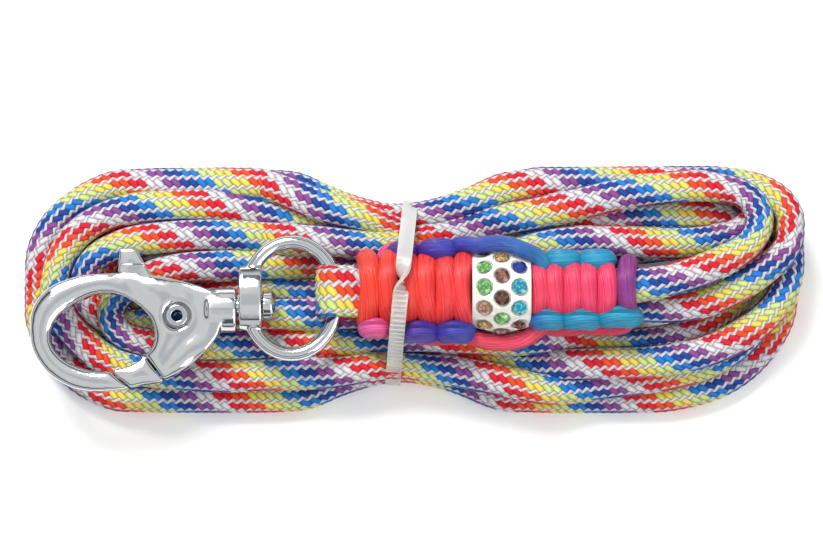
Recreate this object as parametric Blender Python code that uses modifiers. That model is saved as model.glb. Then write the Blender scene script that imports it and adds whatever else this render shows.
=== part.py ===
"""Lead rope, wound into a tied hank, with a swivel snap hook and a knotted collar.

Frame: metres, +Z up, origin at the middle of the hank's resting face.
+X runs along the hank, from the snap hook's eye to the open loops of the cord.
The hank lies flat; the hook, its ring and the knotted collar lie on top of it.
"""
import math

import bmesh
import bpy
from mathutils import Matrix, Vector

MM = 0.001
GAP = 0.3 * MM                    # clearance between pieces that touch

# Hank: the wound cord, as one soft solid of its outer shape
HANK_LENGTH = 207.5 * MM
HANK_WIDTH = 64.6 * MM
HANK_HEIGHT = 12.0 * MM
HANK_EDGE = 5.0 * MM              # how far its long edges round over
CORD_RADIUS = 3.0 * MM

# Level of the hook, ring, collar and bead axes above the resting face
AXIS_RISE = 6.5 * MM               # middle of collar, ring and hook above the hank
AXIS_Z = HANK_HEIGHT + AXIS_RISE

# Collar: the doubled cord with knots tied round it
COLLAR_Y = -1.5 * MM
COLLAR_START_X = -14.4 * MM
COLLAR_END_X = 59.2 * MM
CORE_HALF_WIDTH = 6.4 * MM
CORE_HALF_HEIGHT = 3.75 * MM
CORE_SLOT = 0.5 * MM              # space between the two legs
KNOT_STRAND_RADIUS = 2.1 * MM
LEFT_KNOT_HALF_WIDTH = 13.0 * MM
RIGHT_KNOT_HALF_WIDTH = 10.8 * MM

# Bead and its stones
BEAD_X = 23.0 * MM
BEAD_LENGTH = 15.4 * MM
BEAD_RADIUS = 11.0 * MM
BEAD_END_RADIUS = 9.4 * MM
STONE_RADIUS = 2.0 * MM
STONE_TABLE_RADIUS = 1.2 * MM
STONE_HEIGHT = 1.2 * MM
STONE_PROUD = 0.5 * MM
STONES_PER_ROW = 11
STONE_ROWS = 3
STONE_ROW_PITCH = 4.6 * MM

# Ring with its swivel barrel
RING_X = -31.9 * MM
RING_Y = -3.4 * MM
RING_SEMI_X = 12.1 * MM           # to the middle of the wire
RING_SEMI_Y = 14.8 * MM
RING_WIRE_RADIUS = 1.95 * MM
BARREL_LENGTH = 6.0 * MM
BARREL_HALF_WIDTH = 8.6 * MM
BARREL_HALF_HEIGHT = 4.7 * MM
BARREL_INSET = 1.3 * MM           # barrel's middle inside the ring's own line
SWIVEL_Y = -5.4 * MM
SWIVEL_PIN_RADIUS = 2.1 * MM
SWIVEL_HEAD_RADIUS = 4.1 * MM
SWIVEL_HEAD_LENGTH = 3.3 * MM
SWIVEL_PIN_DEPTH = 5.0 * MM       # how far the pin reaches into the hook's neck

# The doubled cord's bight round the ring
TAPE_THICKNESS = 2.0 * MM
BIGHT_ROOM = 2.05 * MM            # between the ring's wire and the inside of the bight
BIGHT_EYE_RADIUS = RING_WIRE_RADIUS + BIGHT_ROOM

# Snap hook; x and y below are measured from the gate's rivet
PIVOT_X = -61.8 * MM
PIVOT_Y = -8.3 * MM
HOOK_THICKNESS = 7.6 * MM
HOOK_EDGE = 1.2 * MM
NECK_RADIUS_Y = 6.0 * MM
NECK_RADIUS_Z = 4.6 * MM
NECK_Y = -6.6 * MM
SLOT_THICKNESS = 3.6 * MM
RIVET_RADIUS = 2.0 * MM
RIVET_BORE_RADIUS = 1.5 * MM
RIVET_FLANGE_RADIUS = 2.8 * MM
RIVET_FLANGE_HEIGHT = 0.6 * MM
RIVET_RECESS_RADIUS = 3.5 * MM
RIVET_RECESS_DEPTH = 1.0 * MM
GATE_HUB_RADIUS = 5.6 * MM
GATE_PLATE_THICKNESS = 3.0 * MM
GATE_REACH = 22.2 * MM            # rivet to the gate's end face
GATE_OPEN_DEG = 25.0
THUMB_PAD_THICKNESS = 4.4 * MM
SPRING_WIRE_RADIUS = 0.25 * MM
SPRING_RADIUS = 3.1 * MM
SPRING_TURNS = 2.25
SPRING_PITCH = 0.62 * MM
SPRING_POCKET_RADIUS = 3.8 * MM
SPRING_POCKET_DEPTH = 2.3 * MM

# Cable tie round the hank's waist
TIE_X = -3.0 * MM
TIE_WIDTH = 3.4 * MM
TIE_THICKNESS = 1.1 * MM
TIE_SLANT_DEG = -5.6
TIE_HALF_SPAN = 24.4 * MM
TIE_HEAD_LENGTH = 5.0 * MM
TIE_HEAD_HEIGHT = 4.4 * MM
TIE_HEAD_WIDTH = 5.4 * MM

# Silhouette of the hank, counter-clockwise, in millimetres before it is fitted
HANK_OUTLINE = [
    (-103.7, 0.0), (-100.5, -10.5), (-92.0, -22.0), (-79.0, -29.5), (-60.0, -32.2),
    (-40.0, -31.0), (-20.0, -27.2), (-4.5, -24.0), (14.0, -27.5), (34.0, -30.6),
    (58.0, -30.8), (76.0, -27.5), (92.0, -20.0), (99.0, -9.0), (101.5, 2.0),
    (103.7, 12.5), (99.5, 22.5), (90.0, 28.0), (70.0, 30.0), (50.0, 31.8),
    (32.0, 31.0), (14.0, 26.5), (-1.5, 23.0), (-18.0, 27.0), (-36.0, 30.8),
    (-58.0, 32.2), (-76.0, 30.5), (-90.0, 24.5), (-99.5, 13.0),
]

# Routes of the two cord legs from the collar to where they join the wound turns
FRONT_LEG = [
    (59.6, 0.0, 21.5), (61.6, 0.0, 21.5), (66.9, 1.0, 21.2), (75.7, 3.8, 20.4), (83.1, 7.3, 19.6),
    (88.8, 11.7, 18.8), (91.0, 17.0, 17.8), (90.1, 21.3, 16.8), (86.6, 24.6, 16.0),
    (80.5, 26.2, 15.6), (72.0, 26.6, 15.5),
]
BACK_LEG = [
    (59.6, -5.2, 15.6), (61.6, -5.2, 15.6), (66.9, -5.6, 15.6), (75.7, -4.4, 15.5), (84.4, -0.6, 15.5),
    (91.6, 4.0, 15.5), (97.0, 8.6, 15.5), (99.9, 14.0, 15.5), (99.3, 19.0, 15.5),
    (96.8, 22.6, 15.5),
]

# Hook outlines, in millimetres from the rivet
HOOK_OUTER = [
    (-38.5, -2.6), (-37.6, 2.7), (-33.5, 7.5), (-26.4, 10.4), (-18.7, 11.2), (-10.4, 11.1),
    (-2.8, 10.1), (4.9, 8.1), (10.6, 5.4), (11.6, 1.0), (11.4, -3.0), (10.2, -6.0),
    (6.1, -10.6), (0.2, -15.0), (-8.1, -18.0), (-14.6, -19.2), (-21.7, -19.7),
    (-27.6, -18.6), (-33.5, -15.0), (-37.6, -9.1),
]
HOOK_EYE = [
    (-33.2, -5.5), (-31.1, 0.1), (-23.4, 5.1), (-17.5, 6.0), (-12.8, 4.6), (-8.1, 1.0),
    (-6.0, -3.2), (-6.3, -7.9), (-9.2, -11.2), (-12.8, -13.1), (-16.6, -14.3),
    (-21.7, -14.4), (-27.6, -12.6), (-31.4, -9.7),
]
# The gate's block follows the eye between its two seams
SEAM_INNER = (-8.6, -10.4)
SEAM_OUTER = (-3.4, -17.1)
GATE_BLOCK_SIDES = [(-8.8, -17.9), (-12.0, -18.6)]
GATE_BLOCK_INNER = [(-15.6, -14.2), (-12.4, -13.2), (-9.4, -11.6)]
GATE_ARM = [
    (1.6, -5.0), (-4.9, -13.4), (-8.4, -16.4), (-11.5, -14.6), (-8.8, -12.1),
    (-5.4, -8.0), (-5.0, -2.0),
]
GATE_STALK = [(-1.6, 5.1), (-7.5, 11.8), (-10.9, 17.6), (-15.1, 17.6), (-15.7, 11.8), (-5.0, 2.4)]
THUMB_PAD = [(-8.6, 13.7), (-10.9, 17.8), (-15.2, 17.8), (-15.6, 13.7)]
STALK_ROOM_CORNER = (-6.4, 1.8)
STALK_ROOM_REACH = 22.0 * MM
ARM_SLOT = [
    (2.4, -5.0), (-4.2, -13.6), (-6.0, -16.0), (-10.0, -14.6), (-15.0, -11.0),
    (-15.0, -2.0), (-5.0, 2.0),
]


def clear_scene():
    for item in list(bpy.data.objects):
        bpy.data.objects.remove(item, do_unlink=True)


def new_collection(name):
    collection = bpy.data.collections.new(name)
    bpy.context.scene.collection.children.link(collection)
    return collection


def new_material(name, colour, roughness, metallic=0.0, alpha=1.0):
    material = bpy.data.materials.new(name)
    material.use_nodes = True
    shader = material.node_tree.nodes["Principled BSDF"]
    shader.inputs["Base Color"].default_value = (*colour, 1.0)
    shader.inputs["Roughness"].default_value = roughness
    shader.inputs["Metallic"].default_value = metallic
    shader.inputs["Alpha"].default_value = alpha
    return material


def in_mm(points):
    return [tuple(value * MM for value in point) for point in points]


def shifted(points, dx, dy):
    return [(x + dx, y + dy) for x, y in points]


def smooth_closed(points, steps):
    """Closed Catmull-Rom curve through the points."""
    count = len(points)
    result = []
    for i in range(count):
        before, start = Vector(points[i - 1]), Vector(points[i])
        end, after = Vector(points[(i + 1) % count]), Vector(points[(i + 2) % count])
        for step in range(steps):
            result.append(tuple(spline_point(before, start, end, after, step / steps)))
    return result


def smooth_open(points, steps):
    """Open Catmull-Rom curve through the points."""
    last = len(points) - 1
    result = []
    for i in range(last):
        before, start = Vector(points[max(i - 1, 0)]), Vector(points[i])
        end, after = Vector(points[i + 1]), Vector(points[min(i + 2, last)])
        for step in range(steps):
            result.append(tuple(spline_point(before, start, end, after, step / steps)))
    return result + [tuple(points[last])]


def spline_point(before, start, end, after, t):
    linear = (end - before) * t
    square = (2 * before - 5 * start + 4 * end - after) * t * t
    cube = (3 * start - before - 3 * end + after) * t * t * t
    return start + 0.5 * (linear + square + cube)


def ellipse(radius_a, radius_b, count, centre=(0.0, 0.0)):
    turn = 2 * math.pi / count
    return [(centre[0] + radius_a * math.cos(i * turn), centre[1] + radius_b * math.sin(i * turn))
            for i in range(count)]


def arc(radius, start_deg, end_deg, count, centre=(0.0, 0.0)):
    angles = [math.radians(start_deg + (end_deg - start_deg) * i / count) for i in range(count + 1)]
    return [(centre[0] + radius * math.cos(a), centre[1] + radius * math.sin(a)) for a in angles]


def link(name, mesh, collection, material=None):
    obj = bpy.data.objects.new(name, mesh)
    collection.objects.link(obj)
    if material:
        mesh.materials.clear()
        mesh.materials.append(material)
    return obj


def mesh_from_curve(name, curve, collection, material=None):
    """Evaluates a curve, welds its caps and keeps the mesh as an object."""
    source = bpy.data.objects.new(name + "_curve", curve)
    collection.objects.link(source)
    depsgraph = bpy.context.evaluated_depsgraph_get()
    mesh = bpy.data.meshes.new_from_object(source.evaluated_get(depsgraph))
    bpy.data.objects.remove(source, do_unlink=True)
    shape = bmesh.new()
    shape.from_mesh(mesh)
    bmesh.ops.remove_doubles(shape, verts=shape.verts, dist=0.00001)
    bmesh.ops.recalc_face_normals(shape, faces=shape.faces)
    shape.to_mesh(mesh)
    shape.free()
    mesh.name = name
    return link(name, mesh, collection, material)


def plate(name, loops, thickness, collection, material=None):
    """Flat outline, with holes, extruded by thickness about its own XY plane."""
    curve = bpy.data.curves.new(name, "CURVE")
    curve.dimensions = "2D"
    curve.fill_mode = "BOTH"
    curve.extrude = thickness / 2
    for loop in loops:
        spline = curve.splines.new("POLY")
        spline.points.add(len(loop) - 1)
        for point, (x, y) in zip(spline.points, loop):
            point.co = (x, y, 0.0, 1.0)
        spline.use_cyclic_u = True
    return mesh_from_curve(name, curve, collection, material)


def tube(name, points, radius, resolution, collection, material=None):
    """Round bar along an open line of points."""
    curve = bpy.data.curves.new(name, "CURVE")
    curve.dimensions = "3D"
    curve.bevel_depth = radius
    curve.bevel_resolution = resolution
    curve.use_fill_caps = True
    spline = curve.splines.new("POLY")
    spline.points.add(len(points) - 1)
    for point, place in zip(spline.points, points):
        point.co = (*place, 1.0)
    return mesh_from_curve(name, curve, collection, material)


def closed_wire(name, points, radius, resolution, collection, material=None):
    """Round bar along a closed line of points."""
    curve = bpy.data.curves.new(name, "CURVE")
    curve.dimensions = "3D"
    curve.bevel_depth = radius
    curve.bevel_resolution = resolution
    spline = curve.splines.new("POLY")
    spline.points.add(len(points) - 1)
    for point, place in zip(spline.points, points):
        point.co = (*place, 1.0)
    spline.use_cyclic_u = True
    return mesh_from_curve(name, curve, collection, material)


def cylinder(name, radius, depth, segments, collection, material=None, top_radius=None):
    """Cylinder or cone about its own Z axis, from z = 0 to depth."""
    shape = bmesh.new()
    bmesh.ops.create_cone(shape, cap_ends=True, segments=segments, radius1=radius,
                          radius2=radius if top_radius is None else top_radius, depth=depth,
                          matrix=Matrix.Translation((0, 0, depth / 2)))
    mesh = bpy.data.meshes.new(name)
    shape.to_mesh(mesh)
    shape.free()
    return link(name, mesh, collection, material)


def block(name, low, high, collection, material=None):
    """Box between two corners."""
    size = [high[i] - low[i] for i in range(3)]
    centre = [(high[i] + low[i]) / 2 for i in range(3)]
    shape = bmesh.new()
    bmesh.ops.create_cube(shape, size=1.0,
                          matrix=Matrix.Translation(centre) @ Matrix.Diagonal((*size, 1.0)))
    mesh = bpy.data.meshes.new(name)
    shape.to_mesh(mesh)
    shape.free()
    return link(name, mesh, collection, material)


def turned(name, profile, segments, collection, material=None):
    """Closed profile of (radius, height) turned about Z with a Screw modifier."""
    mesh = bpy.data.meshes.new(name)
    count = len(profile)
    mesh.from_pydata([(radius, 0.0, height) for radius, height in profile],
                     [(i, (i + 1) % count) for i in range(count)], [])
    obj = link(name, mesh, collection, material)
    screw = obj.modifiers.new("turn", "SCREW")
    screw.steps = segments
    screw.render_steps = segments
    screw.use_merge_vertices = True
    screw.merge_threshold = 0.00001
    return obj


def place(obj, location, rotation=(0.0, 0.0, 0.0)):
    obj.location = location
    obj.rotation_euler = rotation
    return obj


def boolean(obj, cutter, operation="DIFFERENCE"):
    modifier = obj.modifiers.new(operation.lower(), "BOOLEAN")
    modifier.object = cutter
    modifier.operation = operation
    modifier.solver = "EXACT"
    cutter.hide_render = True
    cutter.display_type = "WIRE"


def bevel(obj, width, segments=1, angle_deg=40.0):
    modifier = obj.modifiers.new("bevel", "BEVEL")
    modifier.width = width
    modifier.segments = segments
    modifier.limit_method = "ANGLE"
    modifier.angle_limit = math.radians(angle_deg)
    return modifier


def smooth(obj, angle_deg=35.0):
    obj.data.shade_smooth()
    obj.data.set_sharp_from_angle(angle=math.radians(angle_deg))


ALONG_X = (0.0, math.pi / 2, 0.0)      # turns local Z into +X


# ---------------------------------------------------------------- cord

def fitted_hank_outline():
    """The hank's silhouette, scaled and centred to its length and width."""
    loop = smooth_closed(in_mm(HANK_OUTLINE), 3)
    xs = [x for x, _ in loop]
    ys = [y for _, y in loop]
    scale_x = HANK_LENGTH / (max(xs) - min(xs))
    scale_y = HANK_WIDTH / (max(ys) - min(ys))
    middle_x = (max(xs) + min(xs)) / 2
    middle_y = (max(ys) + min(ys)) / 2
    return [((x - middle_x) * scale_x, (y - middle_y) * scale_y) for x, y in loop]


def make_hank(parts, cutters, cord):
    hank = plate("hank_coil", [fitted_hank_outline()], HANK_HEIGHT, parts, cord)
    place(hank, (0.0, 0.0, HANK_HEIGHT / 2))
    round_upper_edge(hank)
    # trough for the collar
    trough_half = LEFT_KNOT_HALF_WIDTH + 2 * GAP
    trough_z = knot_half_height() + 2 * GAP
    boolean(hank, block("collar_trough", (COLLAR_START_X - 4 * GAP, COLLAR_Y - trough_half,
                                          AXIS_Z - trough_z),
                        (COLLAR_END_X + 4 * GAP, COLLAR_Y + trough_half, HANK_HEIGHT * 2), cutters))
    # hollow for the bead and its stones
    hollow = cylinder("bead_hollow", BEAD_RADIUS + STONE_PROUD + 2 * GAP,
                      BEAD_LENGTH + 4 * GAP, 24, cutters)
    place(hollow, (BEAD_X - BEAD_LENGTH / 2 - 2 * GAP, COLLAR_Y, AXIS_Z), ALONG_X)
    boolean(hank, hollow)
    # channel round the waist for the cable tie, and room for its head
    far = HANK_WIDTH
    frame = [(-far, -far), (far, -far), (far, far), (-far, far)]
    channel = plate("tie_channel", [frame, tie_line(TIE_THICKNESS + GAP)],
                    TIE_WIDTH + 4 * GAP, cutters)
    channel.matrix_world = tie_matrix()
    boolean(hank, channel)
    head_room = block("tie_head_room",
                      (-TIE_HEAD_WIDTH / 2 - 2 * GAP, -TIE_HEAD_LENGTH - 3 * TIE_THICKNESS, -GAP),
                      (TIE_HEAD_WIDTH / 2 + 2 * GAP, TIE_HEAD_LENGTH + 3 * TIE_THICKNESS,
                       TIE_HEAD_HEIGHT + 4 * GAP), cutters)
    place(head_room, (TIE_X, 0.0, 0.0), (0.0, 0.0, math.radians(TIE_SLANT_DEG)))
    boolean(hank, head_room)
    return hank


def round_upper_edge(hank):
    """Rounds the upper edge only, so that the lower face stays flat."""
    shape = bmesh.new()
    shape.from_mesh(hank.data)
    bmesh.ops.dissolve_limit(shape, angle_limit=math.radians(1.0), verts=shape.verts,
                             edges=shape.edges)
    rim = [edge for edge in shape.edges if min(vert.co.z for vert in edge.verts) > 0]
    bmesh.ops.bevel(shape, geom=rim, offset=HANK_EDGE, segments=2, profile=0.5, affect="EDGES")
    shape.to_mesh(hank.data)
    shape.free()


def make_legs(parts, cord):
    for name, route in (("front_leg_cord", FRONT_LEG), ("back_leg_cord", BACK_LEG)):
        tube(name, smooth_open(in_mm(route), 2), CORD_RADIUS, 2, parts, cord)


def make_ring_bight(parts, cord):
    """Both legs inside the collar and their bight round the ring, drawn from the side."""
    wire_x = RING_X + RING_SEMI_X
    outer = BIGHT_EYE_RADIUS + TAPE_THICKNESS
    slot = CORE_SLOT / 2
    nose = arc(outer, 90.0, 270.0, 12, (wire_x, 0.0))
    eye = arc(BIGHT_EYE_RADIUS, 320.0, 40.0, 14, (wire_x, 0.0))
    shoulder_x = COLLAR_START_X + 0.5 * MM
    loop = [(COLLAR_END_X, CORE_HALF_HEIGHT), (shoulder_x, CORE_HALF_HEIGHT)]
    loop += nose
    loop += [(shoulder_x, -CORE_HALF_HEIGHT), (COLLAR_END_X, -CORE_HALF_HEIGHT)]
    loop += [(COLLAR_END_X, -slot), (shoulder_x, -slot)]
    loop += eye
    loop += [(shoulder_x, slot), (COLLAR_END_X, slot)]
    bight = plate("ring_bight_cord", [loop], 2 * CORE_HALF_WIDTH, parts, cord)
    # the outline's own y becomes up, and its thickness lies across the cord
    place(bight, (0.0, COLLAR_Y - 0.5 * MM, AXIS_Z), (math.pi / 2, 0.0, 0.0))
    return bight


# ---------------------------------------------------------------- collar

def knot_half_height():
    return CORE_HALF_HEIGHT + GAP + 2 * KNOT_STRAND_RADIUS


def make_knot_sleeve(name, start_x, end_x, half_width, parts, knot):
    """Knotted sleeve round the core: an oval with a bore that clears the core."""
    outer = ellipse(knot_half_height(), half_width, 28)
    bore_z = CORE_HALF_HEIGHT + GAP
    bore_y = CORE_HALF_WIDTH + 0.5 * MM + GAP
    bore = [(-bore_z, -bore_y), (bore_z, -bore_y), (bore_z, bore_y), (-bore_z, bore_y)]
    sleeve = plate(name, [outer, bore], end_x - start_x, parts, knot)
    place(sleeve, ((start_x + end_x) / 2, COLLAR_Y, AXIS_Z), ALONG_X)
    return sleeve


def make_knots(parts, bar_cord, loop_cord):
    bead_start = BEAD_X - BEAD_LENGTH / 2
    bead_end = BEAD_X + BEAD_LENGTH / 2
    make_knot_sleeve("left_knot_sleeve", COLLAR_START_X, bead_start - GAP,
                     LEFT_KNOT_HALF_WIDTH, parts, bar_cord)
    make_knot_sleeve("right_knot_sleeve", bead_end + GAP, COLLAR_END_X,
                     RIGHT_KNOT_HALF_WIDTH, parts, bar_cord)
    make_bypass("upper_bypass_strand", 25.0, parts, loop_cord)
    make_bypass("lower_bypass_strand", 176.0, parts, bar_cord)


def make_bypass(name, angle_deg, parts, material):
    """Strand that runs past the bead, from one knotted sleeve to the other."""
    steps = 8
    end_x = BEAD_LENGTH / 2
    low_radius = BEAD_END_RADIUS + STONE_PROUD + KNOT_STRAND_RADIUS + 2 * GAP
    high_radius = BEAD_RADIUS + STONE_PROUD + KNOT_STRAND_RADIUS + 2 * GAP
    angle = math.radians(angle_deg)
    points = []
    for i in range(steps + 1):
        t = i / steps
        radius = low_radius + (high_radius - low_radius) * math.sin(math.pi * t)
        points.append((BEAD_X - end_x + 2 * end_x * t, COLLAR_Y + radius * math.cos(angle),
                       AXIS_Z + radius * math.sin(angle)))
    return tube(name, points, KNOT_STRAND_RADIUS, 2, parts, material)


# ---------------------------------------------------------------- bead

def bead_radius_at(offset):
    """Outer radius of the barrel bead at a distance from its middle."""
    share = offset / (BEAD_LENGTH / 2)
    return BEAD_RADIUS - (BEAD_RADIUS - BEAD_END_RADIUS) * share * share


def stone_places():
    """Row offset along the bead and angle round it, each row turned half a step."""
    for row in range(STONE_ROWS):
        offset = (row - (STONE_ROWS - 1) / 2) * STONE_ROW_PITCH
        for i in range(STONES_PER_ROW):
            yield offset, math.tau * (i + 0.5 * (row % 2)) / STONES_PER_ROW


def stone_matrix(offset, angle, radius):
    """Places a stone's own Z outwards from the bead's axis."""
    turn = Matrix.Rotation(angle, 4, "X")
    return (Matrix.Translation((BEAD_X + offset, COLLAR_Y, AXIS_Z)) @ turn
            @ Matrix.Translation((0.0, 0.0, radius)))


def make_bead(parts, cutters, clay, stones):
    bore = math.hypot(CORE_HALF_WIDTH + 0.5 * MM, CORE_HALF_HEIGHT) + GAP
    half = BEAD_LENGTH / 2
    outline = [(bead_radius_at(half * (1 - step / 4)), half * (1 - step / 4)) for step in range(9)]
    profile = outline + [(bore, -half), (bore, half)]
    bead = turned("bead", profile, 44, parts, clay)
    place(bead, (BEAD_X, COLLAR_Y, AXIS_Z), ALONG_X)
    for number, (offset, angle) in enumerate(stone_places(), 1):
        surface = bead_radius_at(offset)
        base = surface + STONE_PROUD - STONE_HEIGHT
        seat = cylinder(f"stone_seat_{number:02d}", STONE_RADIUS + GAP, 4 * STONE_HEIGHT, 10, cutters)
        seat.matrix_world = stone_matrix(offset, angle, base - GAP)
        boolean(bead, seat)
        stone = cylinder(f"rhinestone_{number:02d}", STONE_RADIUS, STONE_HEIGHT, 10, parts,
                         stones[number % len(stones)], STONE_TABLE_RADIUS)
        stone.matrix_world = stone_matrix(offset, angle, base)
    return bead


# ---------------------------------------------------------------- ring and swivel

def barrel_x():
    return RING_X - RING_SEMI_X + BARREL_INSET


def neck_face_x():
    """Where the hook's neck stops, clear of both the barrel and the ring's wire."""
    ring_side = RING_X - RING_SEMI_X - RING_WIRE_RADIUS
    return min(barrel_x() - BARREL_LENGTH / 2, ring_side) - GAP


def make_ring(parts, cutters, chrome):
    rim = [(x, y, 0.0) for x, y in ellipse(RING_SEMI_X, RING_SEMI_Y, 40)]
    ring = closed_wire("ring_eye", rim, RING_WIRE_RADIUS, 3, parts, chrome)
    place(ring, (RING_X, RING_Y, AXIS_Z))
    barrel = plate("barrel_blank", [ellipse(BARREL_HALF_HEIGHT, BARREL_HALF_WIDTH, 24)],
                   BARREL_LENGTH, cutters)
    place(barrel, (barrel_x(), RING_Y, AXIS_Z), ALONG_X)
    boolean(ring, barrel, "UNION")
    hole = cylinder("barrel_hole", SWIVEL_PIN_RADIUS + GAP, 3 * BARREL_LENGTH, 20, cutters)
    place(hole, (barrel_x() - 1.5 * BARREL_LENGTH, SWIVEL_Y, AXIS_Z), ALONG_X)
    boolean(ring, hole)
    smooth(ring)
    return ring


def make_swivel_rivet(parts, chrome):
    """Turned rivet: a domed head inside the ring and a pin into the hook's neck."""
    barrel_face = barrel_x() + BARREL_LENGTH / 2
    neck_face = neck_face_x()
    head_start = barrel_face + GAP
    pin_end = neck_face - SWIVEL_PIN_DEPTH
    head_end = head_start + SWIVEL_HEAD_LENGTH
    profile = [
        (0.0, head_end), (SWIVEL_HEAD_RADIUS * 0.7, head_end),
        (SWIVEL_HEAD_RADIUS, head_end - 1.0 * MM), (SWIVEL_HEAD_RADIUS, head_start),
        (SWIVEL_PIN_RADIUS, head_start), (SWIVEL_PIN_RADIUS, pin_end), (0.0, pin_end),
    ]
    mesh = bpy.data.meshes.new("swivel_rivet")
    mesh.from_pydata([(radius, 0.0, height) for radius, height in profile],
                     [(i, i + 1) for i in range(len(profile) - 1)], [])
    rivet = link("swivel_rivet", mesh, parts, chrome)
    screw = rivet.modifiers.new("turn", "SCREW")
    screw.steps = 20
    screw.render_steps = 20
    screw.use_merge_vertices = True
    screw.merge_threshold = 0.00001
    place(rivet, (0.0, SWIVEL_Y, AXIS_Z), ALONG_X)
    return rivet


# ---------------------------------------------------------------- snap hook

def hook_plate(name, points, thickness, collection, material=None):
    """Plate drawn from the rivet, at the hook's level."""
    obj = plate(name, [points], thickness, collection, material)
    return place(obj, (PIVOT_X, PIVOT_Y, AXIS_Z))


def upright_at_pivot(obj, low_z):
    return place(obj, (PIVOT_X, PIVOT_Y, AXIS_Z + low_z))


def gate_block_outline(clearance):
    """The gate's solid end, between the seam by the body and the arc by the nose."""
    inner = Vector(SEAM_INNER) * MM
    outer = Vector(SEAM_OUTER) * MM
    along = (outer - inner).normalized()
    away = Vector((along.y, -along.x)) * clearance      # towards the body
    reach = GATE_REACH + clearance
    end_arc = arc(reach, 236.5, 220.5, 5)
    if clearance > 0:
        end_arc = arc(reach, 240.0, 214.0, 6)
        return ([tuple(inner - along * 3 * MM - away), tuple(outer + along * 4 * MM - away)]
                + end_arc + [tuple(inner * 0.9 - along * 4 * MM - away * 4)])
    return ([tuple(inner), tuple(outer)] + in_mm(GATE_BLOCK_SIDES) + end_arc
            + in_mm(GATE_BLOCK_INNER))


def swung_stalk_edge():
    """The stalk's leading edge when the gate is open, with clearance in front of it."""
    opened = Matrix.Rotation(-math.radians(GATE_OPEN_DEG), 2)
    low, high = (opened @ (Vector(point) * MM) for point in GATE_STALK[:2])
    along = (high - low).normalized()
    ahead = Vector((along.y, -along.x)) * 2 * GAP
    return [tuple(low + ahead), tuple(high + ahead)]


def make_hook_body(parts, cutters, chrome):
    loops = [smooth_closed(in_mm(HOOK_OUTER), 3), smooth_closed(in_mm(HOOK_EYE), 3)]
    body = plate("hook_body", loops, HOOK_THICKNESS, parts, chrome)
    place(body, (PIVOT_X, PIVOT_Y, AXIS_Z))
    bevel(body, HOOK_EDGE, 2)
    # neck, which stops just short of the barrel
    neck_end = neck_face_x()
    neck_start = PIVOT_X + 8.0 * MM
    neck = plate("neck_blank", [ellipse(NECK_RADIUS_Z, NECK_RADIUS_Y, 16)],
                 neck_end - neck_start, cutters)
    place(neck, ((neck_start + neck_end) / 2, NECK_Y, AXIS_Z), ALONG_X)
    boolean(body, neck, "UNION")
    pin_hole = cylinder("neck_hole", SWIVEL_PIN_RADIUS + GAP, SWIVEL_PIN_DEPTH * 2, 20, cutters)
    place(pin_hole, (neck_end - SWIVEL_PIN_DEPTH - GAP, SWIVEL_Y, AXIS_Z), ALONG_X)
    boolean(body, pin_hole)
    # room for the gate: its hub, its arm as it swings in, its stalk and its end block
    hub_room = cylinder("hub_room", GATE_HUB_RADIUS + 2 * GAP, SLOT_THICKNESS, 32, cutters)
    boolean(body, upright_at_pivot(hub_room, -SLOT_THICKNESS / 2))
    boolean(body, hook_plate("arm_room", in_mm(ARM_SLOT), SLOT_THICKNESS, cutters))
    sweep = [(0.0, 0.0)] + swung_stalk_edge() + arc(STALK_ROOM_REACH, 96.5, 146.0, 8)
    sweep += in_mm([STALK_ROOM_CORNER])
    boolean(body, hook_plate("stalk_room", sweep, SLOT_THICKNESS, cutters))
    boolean(body, hook_plate("block_room", gate_block_outline(GAP), HOOK_THICKNESS * 2, cutters))
    # rivet hole and its recesses
    hole = cylinder("rivet_hole", RIVET_RADIUS + GAP, HOOK_THICKNESS * 2, 24, cutters)
    boolean(body, upright_at_pivot(hole, -HOOK_THICKNESS))
    for side, low_z in (("upper", HOOK_THICKNESS / 2 - RIVET_RECESS_DEPTH),
                        ("lower", -HOOK_THICKNESS * 1.5 + RIVET_RECESS_DEPTH)):
        recess = cylinder(side + "_recess", RIVET_RECESS_RADIUS, HOOK_THICKNESS, 24, cutters)
        boolean(body, upright_at_pivot(recess, low_z))
    return body


def make_gate(parts, cutters, chrome):
    gate = cylinder("gate", GATE_HUB_RADIUS, GATE_PLATE_THICKNESS, 32, parts, chrome)
    upright_at_pivot(gate, -GATE_PLATE_THICKNESS / 2)
    boolean(gate, hook_plate("gate_arm_blank", in_mm(GATE_ARM), GATE_PLATE_THICKNESS, cutters),
            "UNION")
    boolean(gate, hook_plate("gate_block_blank", gate_block_outline(0.0),
                             HOOK_THICKNESS - GAP, cutters), "UNION")
    boolean(gate, hook_plate("gate_stalk_blank", in_mm(GATE_STALK), GATE_PLATE_THICKNESS, cutters),
            "UNION")
    boolean(gate, hook_plate("thumb_pad_blank", in_mm(THUMB_PAD), THUMB_PAD_THICKNESS, cutters),
            "UNION")
    bore = cylinder("gate_bore", RIVET_RADIUS + GAP, GATE_PLATE_THICKNESS * 2, 24, cutters)
    boolean(gate, upright_at_pivot(bore, -GATE_PLATE_THICKNESS))
    pocket = cylinder("spring_pocket", SPRING_POCKET_RADIUS, SPRING_POCKET_DEPTH * 2, 24, cutters)
    floor_z = GATE_PLATE_THICKNESS / 2 - SPRING_POCKET_DEPTH
    boolean(gate, upright_at_pivot(pocket, floor_z))
    return gate


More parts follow.
